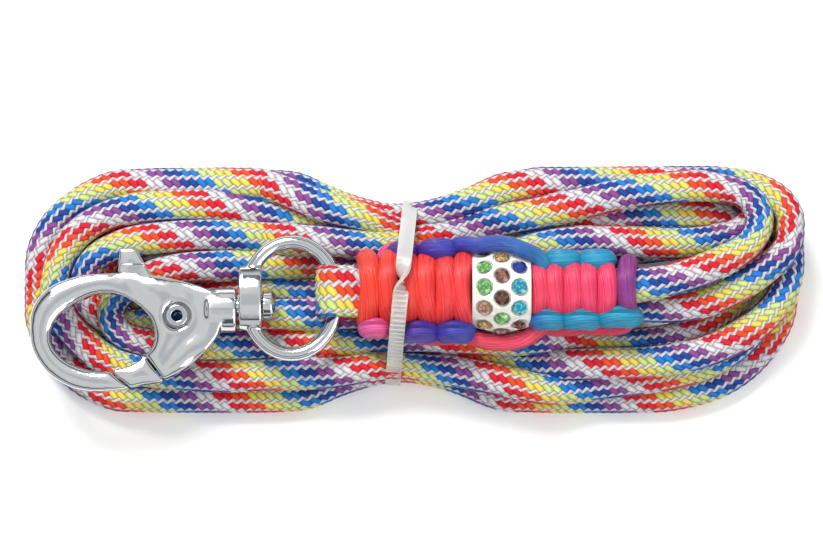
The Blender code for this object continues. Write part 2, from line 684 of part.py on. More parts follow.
def make_gate_rivet(parts, chrome):
    """Hollow rivet, flared into a flange in each recess of the body."""
    flange_low = HOOK_THICKNESS / 2 - RIVET_RECESS_DEPTH + 0.5 * GAP
    flange_high = flange_low + RIVET_FLANGE_HEIGHT
    profile = [
        (RIVET_FLANGE_RADIUS, flange_high), (RIVET_FLANGE_RADIUS, flange_low),
        (RIVET_RADIUS, flange_low), (RIVET_RADIUS, -flange_low),
        (RIVET_FLANGE_RADIUS, -flange_low), (RIVET_FLANGE_RADIUS, -flange_high),
        (RIVET_BORE_RADIUS, -flange_high), (RIVET_BORE_RADIUS, flange_high),
    ]
    rivet = turned("gate_rivet", profile, 24, parts, chrome)
    place(rivet, (PIVOT_X, PIVOT_Y, AXIS_Z))
    return rivet


def make_gate_spring(parts, steel):
    """Torsion spring, wound round the rivet in the gate's pocket."""
    per_turn = 16
    count = int(SPRING_TURNS * per_turn)
    start_z = GATE_PLATE_THICKNESS / 2 - SPRING_POCKET_DEPTH + SPRING_WIRE_RADIUS + 0.5 * GAP
    points = []
    for i in range(count + 1):
        angle = math.tau * i / per_turn
        points.append((PIVOT_X + SPRING_RADIUS * math.cos(angle),
                       PIVOT_Y + SPRING_RADIUS * math.sin(angle),
                       AXIS_Z + start_z + SPRING_PITCH * i / per_turn))
    return tube("gate_spring", points, SPRING_WIRE_RADIUS, 1, parts, steel)


# ---------------------------------------------------------------- cable tie

def tie_line(inset):
    """Loop of the strap round hank and collar, in its own upright plane."""
    top = AXIS_Z + knot_half_height() + GAP + TIE_THICKNESS - inset
    side = TIE_HALF_SPAN - inset
    low = GAP + inset
    corner = 5.0 * MM - inset
    loop = arc(corner, 180.0, 270.0, 4, (-side + corner, low + corner))
    loop += arc(corner, 270.0, 360.0, 4, (side - corner, low + corner))
    loop += [(side - 0.4 * MM, 10.5 * MM), (11.5 * MM, top - 2.2 * MM)]
    loop += [(7.5 * MM, top), (-10.5 * MM, top)]
    loop += [(-14.5 * MM, top - 2.2 * MM), (-side + 0.4 * MM, 10.5 * MM)]
    return loop


def tie_matrix():
    """Stands the strap's plane upright across the hank, slanted as it lies."""
    return (Matrix.Translation((TIE_X, 0.0, 0.0))
            @ Matrix.Rotation(math.radians(TIE_SLANT_DEG), 4, "Z")
            @ Matrix.Rotation(math.pi / 2, 4, "Z") @ Matrix.Rotation(math.pi / 2, 4, "X"))


def make_cable_tie(parts, cutters, nylon):
    tie = plate("cable_tie", [tie_line(0.0), tie_line(TIE_THICKNESS)], TIE_WIDTH, parts, nylon)
    tie.matrix_world = tie_matrix()
    head = block("tie_head_blank", (-TIE_HEAD_WIDTH / 2, -TIE_HEAD_LENGTH / 2, GAP),
                 (TIE_HEAD_WIDTH / 2, TIE_HEAD_LENGTH / 2, GAP + TIE_HEAD_HEIGHT), cutters)
    place(head, (TIE_X, 0.0, 0.0), (0.0, 0.0, math.radians(TIE_SLANT_DEG)))
    boolean(tie, head, "UNION")
    return tie


def main():
    clear_scene()
    parts = new_collection("lead_rope")
    cutters = new_collection("cutters")
    cord = new_material("braided_cord", (0.55, 0.35, 0.45), 0.85)
    bar_cord = new_material("coral_satin_cord", (0.95, 0.16, 0.14), 0.4)
    loop_cord = new_material("blue_satin_cord", (0.06, 0.22, 0.6), 0.4)
    clay = new_material("white_clay", (0.86, 0.86, 0.82), 0.4)
    chrome = new_material("chrome_plate", (0.8, 0.8, 0.8), 0.08, 1.0)
    steel = new_material("spring_steel", (0.45, 0.45, 0.45), 0.3, 1.0)
    nylon = new_material("natural_nylon", (0.85, 0.83, 0.78), 0.35, 0.0, 0.8)
    stones = [new_material("amber_glass", (0.6, 0.36, 0.1), 0.05),
              new_material("green_glass", (0.1, 0.5, 0.16), 0.05),
              new_material("brown_glass", (0.25, 0.11, 0.08), 0.05)]
    make_hank(parts, cutters, cord)
    make_legs(parts, cord)
    make_ring_bight(parts, cord)
    make_knots(parts, bar_cord, loop_cord)
    make_bead(parts, cutters, clay, stones)
    make_ring(parts, cutters, chrome)
    make_swivel_rivet(parts, chrome)
    make_hook_body(parts, cutters, chrome)
    make_gate(parts, cutters, chrome)
    make_gate_rivet(parts, chrome)
    make_gate_spring(parts, steel)
    make_cable_tie(parts, cutters, nylon)


main()
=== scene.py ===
# %% [markdown]
# # A braided lead rope, wound in a hank
# The lead is a soft rainbow braid wound in seven turns. Its two legs run through a collar
# of knotted satin cord with a bead on it, round a chromed ring, and back. A trigger hook
# swivels on the ring, and a cable tie holds the hank at its waist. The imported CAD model
# is loaded first, as a fixed frame that every piece here is fitted to.

# %% Load the frame
import bmesh
import bpy
import math
import numpy as np
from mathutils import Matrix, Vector
from mathutils.kdtree import KDTree


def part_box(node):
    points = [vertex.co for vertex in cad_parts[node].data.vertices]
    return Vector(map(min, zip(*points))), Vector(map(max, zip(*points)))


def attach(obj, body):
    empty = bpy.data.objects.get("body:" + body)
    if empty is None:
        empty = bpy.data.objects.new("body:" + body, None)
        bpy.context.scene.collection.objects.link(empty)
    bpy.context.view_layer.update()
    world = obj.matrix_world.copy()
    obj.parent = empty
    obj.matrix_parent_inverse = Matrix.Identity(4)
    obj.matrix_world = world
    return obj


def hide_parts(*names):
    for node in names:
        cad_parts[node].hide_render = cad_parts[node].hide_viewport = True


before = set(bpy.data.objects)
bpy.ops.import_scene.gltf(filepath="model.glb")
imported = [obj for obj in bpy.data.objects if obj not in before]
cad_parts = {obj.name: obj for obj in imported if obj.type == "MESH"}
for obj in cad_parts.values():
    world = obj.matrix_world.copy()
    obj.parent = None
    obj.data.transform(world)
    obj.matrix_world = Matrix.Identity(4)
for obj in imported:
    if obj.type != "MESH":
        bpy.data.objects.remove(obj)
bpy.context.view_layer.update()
MM = 0.001
AXIS_Z = 18.5                       # middle of collar, ring and hook, mm
COLLAR_Y = -1.5

# %% [markdown]
# ## Camera
# A lead is laid flat and looked at from almost straight above, so the camera looks down with
# a long lens. It could be aimed with a constraint, but two sums place it just as well, and
# a plain camera can be moved later.

# %% Camera
CAMERA_ELEVATION = 84.0
CAMERA_DISTANCE = 0.9
CAMERA_AIM = Vector((-0.0005, 0.0037, 0.010))
VIEW_WIDTH = 0.2181                 # what the frame takes in, across
SENSOR = 36.0


def set_camera():
    """Places the camera by its height over the horizon and its distance."""
    data = bpy.data.cameras.new("lead_camera")
    data.sensor_width = SENSOR
    data.lens = SENSOR * CAMERA_DISTANCE / VIEW_WIDTH
    data.clip_start = 0.01
    camera = bpy.data.objects.new("lead_camera", data)
    bpy.context.scene.collection.objects.link(camera)
    tilt = math.radians(90.0 - CAMERA_ELEVATION)
    away = Vector((0.0, -math.sin(tilt), math.cos(tilt)))
    camera.location = CAMERA_AIM + away * CAMERA_DISTANCE
    camera.rotation_euler = (tilt, 0.0, 0.0)
    bpy.context.scene.camera = camera
    return camera


print("camera at", [round(v, 3) for v in set_camera().location])


# %% [markdown]
# ## Helpers for colours, nodes and meshes
# A maker picks colours as sRGB codes, but a shader adds up light, so each code is
# turned to linear values first. Nodes could be added with a function for each kind. One
# function for all of them is easier to learn: it takes the kind, the inputs and the settings
# by the names that Blender itself shows.

# %% Colours, nodes and meshes
MATH = "ShaderNodeMath"
MIX = "ShaderNodeMix"               # its colour inputs are numbers 6 and 7, its output is 2
RAMP = "ShaderNodeValToRGB"
NOISE = "ShaderNodeTexNoise"
BUMP = "ShaderNodeBump"


def srgb(code):
    """Turns an sRGB hex code to the linear colour that a shader takes."""
    parts = [int(code[i:i + 2], 16) / 255 for i in (1, 3, 5)]
    linear = [p / 12.92 if p <= 0.04045 else ((p + 0.055) / 1.055) ** 2.4 for p in parts]
    return (*linear, 1.0)


def plug(tree, target, inputs):
    """Fills inputs with a value, a socket, or a node whose first output is meant."""
    for key, value in inputs.items():
        if isinstance(value, bpy.types.Node):
            value = value.outputs[0]
        if isinstance(value, bpy.types.NodeSocket):
            tree.links.new(value, target.inputs[key])
        else:
            target.inputs[key].default_value = value


def node(tree, kind, inputs=None, **settings):
    """Adds a node with its settings, and fills its inputs."""
    made = tree.nodes.new(kind)
    for name, value in settings.items():
        setattr(made, name, value)
    plug(tree, made, inputs or {})
    return made


def set_stops(ramp, stops):
    """Gives a colour ramp its stops, (position, code). A new ramp starts with two."""
    elements = ramp.color_ramp.elements
    for i, (position, code) in enumerate(stops):
        stop = elements[i] if i < 2 else elements.new(position)
        stop.position = position
        stop.color = srgb(code)


def new_material(name):
    """An empty material: the material itself, its tree and its shader."""
    material = bpy.data.materials.new(name)
    material.use_nodes = True
    tree = material.node_tree
    return material, tree, tree.nodes["Principled BSDF"]


def object_place(tree):
    """Where a point lies on its piece: the same at every pose and from every side."""
    return node(tree, "ShaderNodeTexCoord").outputs["Object"]


def add_object(name, data):
    made = bpy.data.objects.new(name, data)
    bpy.context.scene.collection.objects.link(made)
    return made


def mesh_object(name, verts, faces, material, smooth=True):
    mesh = bpy.data.meshes.new(name)
    mesh.from_pydata([tuple(v) for v in verts], [], faces)
    mesh.update()
    mesh.materials.append(material)
    mesh.polygons.foreach_set("use_smooth", [smooth] * len(mesh.polygons))
    return add_object(name, mesh)


print("mid grey #808080 is", round(srgb("#808080")[0], 3), "in linear light")

# %% [markdown]
# ## Floor
# Matt white paper: it sends light back evenly, with a grain that is only just there. A plain
# white plane would do. A very faint bump keeps it from looking like an empty hole.

# %% Floor
FLOOR = 3.0                         # half the floor's width, m


def matt_paper():
    """Rough and almost white, so it shows soft shadows and no shine."""
    material, tree, shader = new_material("matt_white_paper")
    grain = node(tree, NOISE, {"Scale": 900.0, "Detail": 2.0})
    bump = node(tree, BUMP, {"Height": grain.outputs["Fac"], "Strength": 0.04,
                             "Distance": 0.0002})
    plug(tree, shader, {"Base Color": srgb("#fbfaf8"), "Roughness": 0.9, "Normal": bump})
    return material


floor = mesh_object("paper_floor", [(-FLOOR, -FLOOR, 0), (FLOOR, -FLOOR, 0), (FLOOR, FLOOR, 0),
                                    (-FLOOR, FLOOR, 0)], [(0, 1, 2, 3)], matt_paper())
print("floor", 2 * FLOOR, "m square")

# %% [markdown]
# ## Light
# Two square soft boxes give faint shadows. Chrome shows nothing but its surroundings, so the
# room around it matters more than the lamps. A picture of a real room would do, but a ramp is
# easier to tune: dark at the horizon, bright above, with one grey band halfway up that
# draws the dark streaks across the castings.

# %% Lights and room
SKY = [(0.0, "#1c1f22"), (0.14, "#5d646b"), (0.3, "#eef1f3"), (0.52, "#f4f6f8"),
       (0.6, "#4b5157"), (0.7, "#59616a"), (0.78, "#f6f8fa"), (0.96, "#ffffff"),
       (0.99, "#dfe4e8")]
SKY_STRENGTH = 0.85


def soft_light(name, place, size, watts):
    data = bpy.data.lights.new(name, "AREA")
    data.shape = "SQUARE"
    data.size = size
    data.energy = watts
    light = add_object(name, data)
    light.location = place
    light.rotation_euler = (-Vector(place)).to_track_quat("-Z", "Y").to_euler()


def studio_room():
    """The room that chrome reflects, from the horizon at 0 to straight up at 1."""
    world = bpy.data.worlds.new("studio")
    bpy.context.scene.world = world
    world.use_nodes = True
    tree = world.node_tree
    direction = node(tree, "ShaderNodeTexCoord").outputs["Generated"]
    height = node(tree, "ShaderNodeSeparateXYZ", {0: direction}).outputs["Z"]
    tone = node(tree, RAMP, {"Fac": height})
    set_stops(tone, SKY)
    plug(tree, tree.nodes["Background"], {"Color": tone, "Strength": SKY_STRENGTH})


soft_light("window_light", (-0.35, 0.75, 0.9), 0.5, 15.0)
soft_light("fill_light", (0.7, -0.5, 0.8), 0.8, 5.5)
studio_room()
bpy.context.scene.view_settings.view_transform = "Standard"
print("lights", [light.name for light in bpy.data.lights], "room stops", len(SKY))

# %% [markdown]
# ## The braided cord's route
# The cord is one length of soft flat-oval braid. It leaves the collar as the back leg,
# winds round the hank, turns back on itself under the collar, and comes home as the
# front leg. The whole winding could be left to a simulation, but then no turn would lie
# where a real one does. So each run has a few chosen points, and a smooth line joins them.

# %% Route points, in mm: runs along the top go left, runs along the bottom go right
BACK_LEG = [(52.5, -2.6, 16.3), (56.0, -3.8, 16.0), (59.6, -5.0, 15.7), (61.6, -5.2, 15.6),
            (66.9, -5.6, 15.6), (75.7, -4.4, 15.5),
            (84.4, -0.6, 15.5), (91.6, 4.0, 15.5), (97.0, 8.6, 15.5), (99.9, 14.0, 15.5),
            (99.3, 19.0, 15.5), (96.0, 23.6, 15.3)]
FRONT_LEG = [(52.5, -1.4, 20.6), (56.0, -0.8, 21.0), (59.6, -0.1, 21.4), (61.6, 0.0, 21.5),
             (66.9, 1.0, 21.2), (75.7, 3.8, 20.4),
             (83.1, 7.3, 19.6), (88.8, 11.7, 18.8), (91.0, 17.0, 17.8), (90.1, 21.3, 16.8),
             (86.6, 24.6, 16.0), (80.5, 26.2, 15.6), (72.0, 26.6, 15.5)]
RUNS = [
    # back leg, along the top edge and out of sight under the first row
    [(90.0, 26.6, 13.5), (80, 28.2, 11.5), (68, 28.8, 10.5), (53.6, 28.4, 9.5), (39, 28.6, 9),
     (25, 26.4, 9), (12, 23.6, 9), (-3, 20.2, 9), (-12, 21.8, 9), (-22, 24.4, 8.5),
     (-31, 27, 7), (-42, 28, 4), (-56, 27.5, 3), (-72, 24, 3), (-84, 17, 3), (-91, 8, 3),
     (-91.5, -2, 3), (-87, -11, 3), (-78, -18, 3), (-64, -21.5, 3), (-45, -20.5, 3)],
    # second row up from the bottom on the right, then the outermost bend and first row
    [(-22, -17.5, 3), (-3, -15.5, 3), (14, -18, 5), (30, -20.4, 8), (50, -20.2, 8.6),
     (66, -19.2, 8.6), (78, -16.6, 8), (88, -11.6, 7.5), (95.5, -4.5, 7), (99.2, 4, 7),
     (100.3, 13, 7), (98.4, 19.6, 7), (90, 25, 6), (76, 25.8, 4), (60, 25.5, 3), (40, 24.5, 3),
     (22, 21.5, 3.5), (8, 18.2, 6), (-3, 16.2, 9), (-13, 18.4, 9), (-24.4, 21.8, 9),
     (-34, 25.2, 9), (-45, 28.3, 8.6), (-59, 29.6, 6), (-70, 29, 4.5), (-81, 26.6, 3.5),
     (-89, 22.4, 3), (-95.3, 16.6, 3), (-99, 8, 3), (-99.8, -1, 3), (-98, -10, 3),
     (-93.4, -18, 3), (-86, -24.2, 3), (-76, -28.2, 3), (-64, -29.6, 3), (-50, -29.4, 3),
     (-36, -28.6, 3), (-20, -26.6, 3), (-6, -23.4, 3)],
    # lowest row on the right, up and in under the legs, then the second row on the left
    [(8, -25, 3), (22, -28, 3), (38, -29.4, 3), (55, -29, 3), (72, -26.6, 3), (84, -22, 3),
     (93, -14, 3), (97.4, -5, 3), (96.8, 4, 3), (93, 13, 3), (86, 19.5, 3), (74, 21, 3),
     (56, 19.6, 3), (36, 16.8, 3), (16, 14.4, 3), (2, 12.8, 4.5), (-8, 13.8, 7),
     (-20, 16, 8.6), (-32, 19, 8.6), (-45, 22.2, 8.6), (-58, 23.6, 8.6), (-70, 22.8, 8.6),
     (-80, 19.6, 8.6), (-88, 13.6, 8.6), (-93, 5.6, 8.6), (-93.6, -3, 8.6),
     (-89.6, -10.6, 8.6), (-82, -16.4, 8.6), (-72, -20, 8.6), (-58, -21.4, 8.6),
     (-40, -21.8, 8.6), (-22, -21.6, 8.6), (-7, -19.4, 8.6)],
    # third row up on the right, then the row behind the hook's thumb tab
    [(6, -20.6, 8.6), (18, -23, 8.6), (32, -24.6, 8), (50, -24.6, 7), (66, -23, 6),
     (79, -19, 6), (89, -11.5, 6), (94.6, -2, 6), (95, 8, 6.5), (91.6, 15.4, 8),
     (84.4, 19.6, 9), (72, 20.4, 9), (60, 19.8, 9), (48, 17.6, 8.6), (34, 13.4, 8.6),
     (18, 9.4, 8), (0, 7.6, 8), (-17, 8.4, 8.6), (-32, 7.4, 8.6), (-46, 7.6, 8.6),
     (-58, 6.6, 8.6), (-68, 4, 8.6), (-76, -0.4, 8.6), (-80.6, -6.4, 8.6),
     (-77.4, -12.2, 8.6), (-69, -15, 8.6), (-58, -15, 8.6), (-44, -14, 8.6), (-28, -13.9, 8.6),
     (-12, -15, 8.6), (-2, -14.2, 8.6)],
    # row next to the collar on the right, and down into the hidden layer
    [(14, -13.8, 8), (30, -14.6, 9), (46, -15.2, 9), (60, -14.8, 9), (72, -13, 8.6),
     (82, -9.6, 8), (89, -3.4, 6), (90.6, 5, 3.5), (86.4, 12, 3), (76, 14.6, 3), (60, 13.6, 3),
     (40, 10, 3), (20, 7.4, 3), (0, 7.6, 3), (-20, 9.6, 3), (-40, 10.6, 3), (-56, 11, 3),
     (-66, 9.6, 3), (-73, 4, 3), (-73.0, -3, 3), (-66, -5.6, 4), (-55, -2.2, 6), (-42, -0.8, 8),
     (-30, -1, 8), (-16, -1.6, 7), (0, -0.6, 6.5)],
    # crosses over beside the collar, and back along the hidden layer
    [(14, 3, 6.5), (24, 8, 7), (36, 11.8, 8.6), (50, 12.8, 9), (64, 12.4, 9), (75, 12.8, 9),
     (84, 14.6, 9), (90, 19, 9.4), (88.6, 24.4, 9.4), (81, 27, 9), (66, 27, 4), (44, 29, 3),
     (24, 26.5, 3), (8, 22, 3), (-3, 20.5, 3), (-20, 21, 3), (-40, 20.4, 3), (-58, 20, 3),
     (-72, 17.4, 3), (-82, 10.6, 3), (-84.6, 1, 3), (-81, -8, 3), (-72, -13, 3), (-56, -13, 3),
     (-36, -10.6, 3), (-14, -9, 3), (10, -9, 3), (30, -9.6, 3), (45, -8.6, 3), (53, -3, 3),
     (53, 4, 3), (46, 7.4, 3), (38, 4, 3), (30, -0.6, 3)],
    # home again as the front leg's turn: behind the ring, then the third row on the left
    [(14, -2.6, 3), (-4, -5.5, 5), (-18, -7.4, 8), (-34, -7.4, 8.6), (-50, -7.6, 8),
     (-64, -8.4, 3.6), (-76, -9.4, 3), (-84.6, -6, 3.4), (-88.4, 1.4, 5), (-85.6, 9, 7.5),
     (-78, 13.2, 8.6), (-70, 14.6, 8.6), (-56, 15, 8.6), (-42, 14, 8.6), (-28, 12.6, 9),
     (-14, 12, 9), (-2, 13.4, 9), (9, 15.4, 9.6), (20, 17.6, 10.6), (32, 19.6, 12),
     (44, 22.2, 13.2), (56, 24.8, 14.4)],
]
ROUTE = BACK_LEG + [p for run in RUNS for p in run] + FRONT_LEG[::-1]
print("route", len(ROUTE), "chosen points in", len(RUNS), "runs and two legs")

# %% A smooth line through points
FINE_STEPS = 24                     # steps between two chosen points, before they are evened


def spline(points, spacing):
    """Even steps along a smooth curve through the points, by arc length."""
    p = np.array(points, float)
    ends = np.vstack([2 * p[0] - p[1], p, 2 * p[-1] - p[-2]])
    fine = []
    for a, b, c, d in zip(ends[:-3], ends[1:-2], ends[2:-1], ends[3:]):
        t = np.linspace(0, 1, FINE_STEPS, endpoint=False)[:, None]
        fine.append(0.5 * (2 * b + (c - a) * t + (2 * a - 5 * b + 4 * c - d) * t ** 2
                           + (3 * b - a - 3 * c + d) * t ** 3))
    fine = np.vstack(fine + [p[-1:]])
    run = np.concatenate([[0], np.cumsum(np.linalg.norm(np.diff(fine, axis=0), axis=1))])
    count = max(2, int(round(run[-1] / spacing)))
    even = np.linspace(0, run[-1], count + 1)
    return np.column_stack([np.interp(even, run, fine[:, i]) for i in range(3)])


print("route", round(np.linalg.norm(np.diff(spline(ROUTE, 5.0), axis=0), axis=1).sum()),
      "mm before it is settled")


# %% [markdown]
# ## The turns, settled
# Cord that is wound by hand packs itself: each turn slips until it rests on its neighbours.
# Blender's rigid or cloth solvers could do that, but they are slow and hard to repeat. A few
# lines of numpy do the same: push apart what overlaps, lower what is free, pull toward the
# chosen line, smooth, and keep clear of the table, the tie and the hook.

# %% Settle the turns
CORD_WIDTH = 8.4
CORD_HEIGHT = 5.8
REST_Z = 3.0                        # height of the cord's middle on the table
STEP = 3.5                          # spacing of the points that are settled
ROUNDS = 160
WAIST_X = -3.0                      # where the cable tie pinches the hank
WAIST_LOW = -21.0
WAIST_HIGH = 19.2
PINCH_REACH = 12.0
PINCH_LIFT = 0.4                    # the pinched cord is a little thicker, so it lies higher
FLARE = 0.011                       # how fast the hank widens away from the tie
HOOK_END_X = -38.0                  # left of this the hook lies on the hank
TOP_Z = 8.7                         # and the cord stays below it
EDGE_X = 99.4                       # how far out the cord's middle lies
EDGE_Y = 28.2
OWN_STEPS = 7                       # points this near along the cord don't push each other
HELD_STEPS = 26                     # points at each end that stay where they were chosen
FADE_STEPS = 12.0
CONTACT = 0.93                      # soft cords touch at this share of their width
CONTACT_PINCHED = 0.17              # and come this much closer under the tie
SPREAD = 0.8                        # turns ride up on one another more than they spread
PUSH = 1.2
PULL_HOME = 0.22
PULL_HEIGHT = 0.04


def pinch(x):
    """1 under the cable tie, fading to 0 a cord's width away on both sides."""
    return np.exp(-((x - WAIST_X) / PINCH_REACH) ** 2)


def contact_push(p, upper, stretch):
    """Each point's push from the turns that it overlaps, and how many those are."""
    flat = p * (1, 1, stretch)
    wide = CORD_WIDTH * CONTACT * (1 - CONTACT_PINCHED * pinch(p[:, 0]))
    i, j = np.nonzero(upper & (np.abs(flat[:, None, 0] - flat[None, :, 0]) < CORD_WIDTH)
                      & (np.abs(flat[:, None, 1] - flat[None, :, 1]) < CORD_WIDTH))
    gap = flat[i] - flat[j]
    gap[:, :2] *= SPREAD
    far = np.linalg.norm(gap, axis=1) + 1e-6
    reach = (wide[i] + wide[j]) / 2
    near = far < reach
    i, j, gap, far, reach = i[near], j[near], gap[near], far[near], reach[near]
    push = gap / far[:, None] * ((reach - far) * 0.5)[:, None]
    push[:, 2] /= stretch
    move = np.zeros_like(p)
    hits = np.zeros((len(p), 1))
    np.add.at(move, i, push)
    np.add.at(move, j, -push)
    np.add.at(hits, i, 1)
    np.add.at(hits, j, 1)
    return move, np.maximum(hits, 1)


def keep_clear(p, low):
    """Keeps the cord above the table, below the hook and inside the hank's outline."""
    p[low, 2] = np.maximum(p[low, 2], REST_Z + PINCH_LIFT * pinch(p[low, 0]))
    below = p[:, 0] < HOOK_END_X
    p[below, 2] = np.minimum(p[below, 2], TOP_Z)
    flare = FLARE * (p[:, 0] - WAIST_X) ** 2
    p[:, 0] = np.clip(p[:, 0], -EDGE_X, EDGE_X)
    p[:, 1] = np.clip(p[:, 1], np.maximum(WAIST_LOW - flare, -EDGE_Y),
                      np.minimum(WAIST_HIGH + flare, EDGE_Y))


def settle(chosen, rounds):
    """Lays the turns: contact, gravity and the pull of the chosen line, in turn."""
    p = chosen.copy()
    count = len(p)
    index = np.arange(count)
    upper = np.triu(np.abs(index[:, None] - index[None, :]) > OWN_STEPS)
    stretch = CORD_WIDTH / CORD_HEIGHT
    free = np.clip((np.minimum(index, count - 1 - index) - HELD_STEPS) / FADE_STEPS, 0, 1)[:, None]
    for _ in range(rounds):
        move, hits = contact_push(p, upper, stretch)
        p += free * move / hits * PUSH
        p[:, :2] += PULL_HOME * (chosen[:, :2] - p[:, :2])
        p[:, 2] += PULL_HEIGHT * (chosen[:, 2] - p[:, 2]) * free[:, 0]
        shift = p - chosen
        shift[1:-1] = 0.5 * shift[1:-1] + 0.25 * (shift[:-2] + shift[2:])
        p = chosen + shift * free
        keep_clear(p, free[:, 0] > 0)
    return p


rough = spline(ROUTE, STEP)
settled = settle(rough, ROUNDS)
print("cord", round(np.linalg.norm(np.diff(settled, axis=0), axis=1).sum()), "mm, moved",
      np.abs(settled - rough).max(axis=0).round(1), "top", settled[:, 2].max().round(1))

# %% [markdown]
# ## The braid itself
# The cord is a 32-carrier braid of textured polyester yarn. Sixteen coloured strands lean
# one way and sixteen white ones the other, and each goes over two and under two, so floats
# of one colour direction stack in columns along the cord, with zigzag edges between them.
# Every yarn could be swept on its own, but 32 of them along nearly three metres would take
# millions of faces. A tube whose vertices sit on the braid's own lattice gives the floats
# real height, and the colour of each float comes from its place along and around the cord.

# %% Braid mesh
FLOAT_PITCH = 2.30                  # length of cord that one float takes, mm
COLUMNS = 16                        # columns of floats round the cord
AROUND = 2 * COLUMNS                # one point on each column and one in each groove
FLOAT_RELIEF = 0.16                 # how far a float's middle stands up, mm
COLUMN_RELIEF = 0.22                # and how far the groove between columns lies down


def frames(points, side=None):
    """Tangent, side and up at each point. Up stays near +Z unless a side is given."""
    tangent = np.gradient(points, axis=0)
    tangent /= np.linalg.norm(tangent, axis=1)[:, None]
    if side is None:
        side = np.cross((0.0, 0.0, 1.0), tangent)
    else:
        side = np.tile(np.array(side, float), (len(points), 1))
    side /= np.linalg.norm(side, axis=1)[:, None]
    return tangent, side, np.cross(tangent, side)


def braid_tube(name, points, half_width, half_height, along, mirrored, material, side=None,
               squareness=2.06, front_share=0.5):
    """Tube on the braid's lattice. Sizes and places are in mm, one value for each ring."""
    _, side, up = frames(points, side)
    rings = len(points)
    turn = (np.arange(AROUND) / AROUND + 0.25) % 1.0 - 0.5       # 0 at the front's middle
    front = np.abs(turn) <= front_share / 2
    behind = 0.25 + (np.abs(turn) - front_share / 2) / (1 - front_share) * 0.5
    angle = 0.25 + np.where(front, turn / front_share * 0.5, np.sign(turn) * behind)
    angle = angle * math.tau
    ring_id = np.arange(rings)[:, None]
    column = np.arange(AROUND)[None, :]
    on_column = column % 2 == 0
    float_middle = (ring_id + column // 2) % 2 == 0
    lift = np.where(on_column, np.where(float_middle, FLOAT_RELIEF, 0.0), -COLUMN_RELIEF)
    cosine, sine = np.cos(angle), np.sin(angle)
    shape = (np.abs(cosine) ** squareness + np.abs(sine) ** squareness) ** (-1 / squareness)
    wide = (half_width[:, None] + lift) * cosine * shape
    high = (half_height[:, None] + lift) * sine * shape
    verts = (points[:, None, :] + wide[..., None] * side[:, None, :]
             + high[..., None] * up[:, None, :])
    faces = []
    for i in range(rings - 1):
        for j in range(AROUND):
            k = (j + 1) % AROUND
            faces.append((i * AROUND + j, i * AROUND + k, (i + 1) * AROUND + k,
                          (i + 1) * AROUND + j))
    faces.append(tuple(range(AROUND - 1, -1, -1)))
    faces.append(tuple((rings - 1) * AROUND + j for j in range(AROUND)))
    made = mesh_object(name, verts.reshape(-1, 3) * MM, faces, material)
    around = np.arange(AROUND + 1) / AROUND
    i, j = np.divmod(np.arange((rings - 1) * AROUND), AROUND)
    u = np.stack([along[i], along[i], along[i + 1], along[i + 1]], 1)
    v = np.stack([around[j], around[j + 1], around[j + 1], around[j]], 1)
    v = np.where(mirrored[i][:, None], 1 - v, v)
    layer = made.data.uv_layers.new(name="braid")
    caps = np.tile([along[0], 0.0], (2 * AROUND, 1))
    layer.data.foreach_set("uv", np.concatenate([np.stack([u, v], -1).reshape(-1),
                                                 caps.reshape(-1)]))
    return made


print("braid lattice", AROUND, "points round,", FLOAT_PITCH, "mm to a float")


# %% [markdown]
# ## The yarn's colours
# Textured polyester yarn is dull and a little fuzzy, and each float stands up like a grain of
# rice, bright on its crown and dark where it dives under; that dark is painted shade in the
# yarn's colour. An image of a braid could be laid on the tube, but it would blur close up.
# Sums on the lattice's own coordinates stay sharp, and keep every float's colour on its own
# yarn as that yarn winds round the cord.

# %% Braid material
WHITE_YARN = "#d3ced3"
BRAID_COLOURS = ["#d80424", "#ec4214", "#e3cb50", "#c5d67e", "#0873c4", "#053c92", "#83408c",
                 WHITE_YARN]
FLOATS_TO_A_COLOUR = 2.0
COLUMN_SHIFT = -1.0                 # floats by which each column's colours start further on
COLOURED_SWELL = 0.15               # share of a column that the thicker coloured yarn takes
BLEED = 0.14                        # light from the coloured yarn that tints the white


def float_lattice(tree):
    """Finds each point's float: its column, its number along, and the place inside it."""
    uv = node(tree, "ShaderNodeUVMap", uv_map="braid")
    parts = node(tree, "ShaderNodeSeparateXYZ", {0: uv})
    x = node(tree, MATH, {0: parts.outputs["X"], 1: FLOAT_PITCH}, operation="DIVIDE")
    y = node(tree, MATH, {0: parts.outputs["Y"], 1: COLUMNS, 2: 0.25}, operation="MULTIPLY_ADD")
    # the columns' edges zigzag, and the coloured columns are wider
    tooth = node(tree, MATH, {0: x, 1: 0.5}, operation="PINGPONG")
    y = node(tree, MATH, {0: tooth, 1: y}, operation="ADD")
    wave = node(tree, MATH, {0: y, 1: math.pi}, operation="MULTIPLY")
    swell = node(tree, MATH, {0: wave}, operation="COSINE")
    y = node(tree, MATH, {0: swell, 1: COLOURED_SWELL, 2: y}, operation="MULTIPLY_ADD")
    column = node(tree, MATH, {0: y}, operation="FLOOR")
    part = node(tree, MATH, {0: y}, operation="FRACT")
    across = node(tree, MATH, {0: part, 1: 0.5}, operation="SUBTRACT")
    odd = node(tree, MATH, {0: column, 1: 2.0}, operation="MODULO")
    white = node(tree, MATH, {0: odd}, operation="ABSOLUTE")
    # white floats lean one way and coloured ones the other
    side = node(tree, MATH, {0: white, 1: 2.0, 2: -1.0}, operation="MULTIPLY_ADD")
    slant = node(tree, MATH, {0: across, 1: 0.5, 2: 0.25}, operation="MULTIPLY_ADD")
    place = node(tree, MATH, {0: slant, 1: side, 2: x}, operation="MULTIPLY_ADD")
    return column, place, across, white


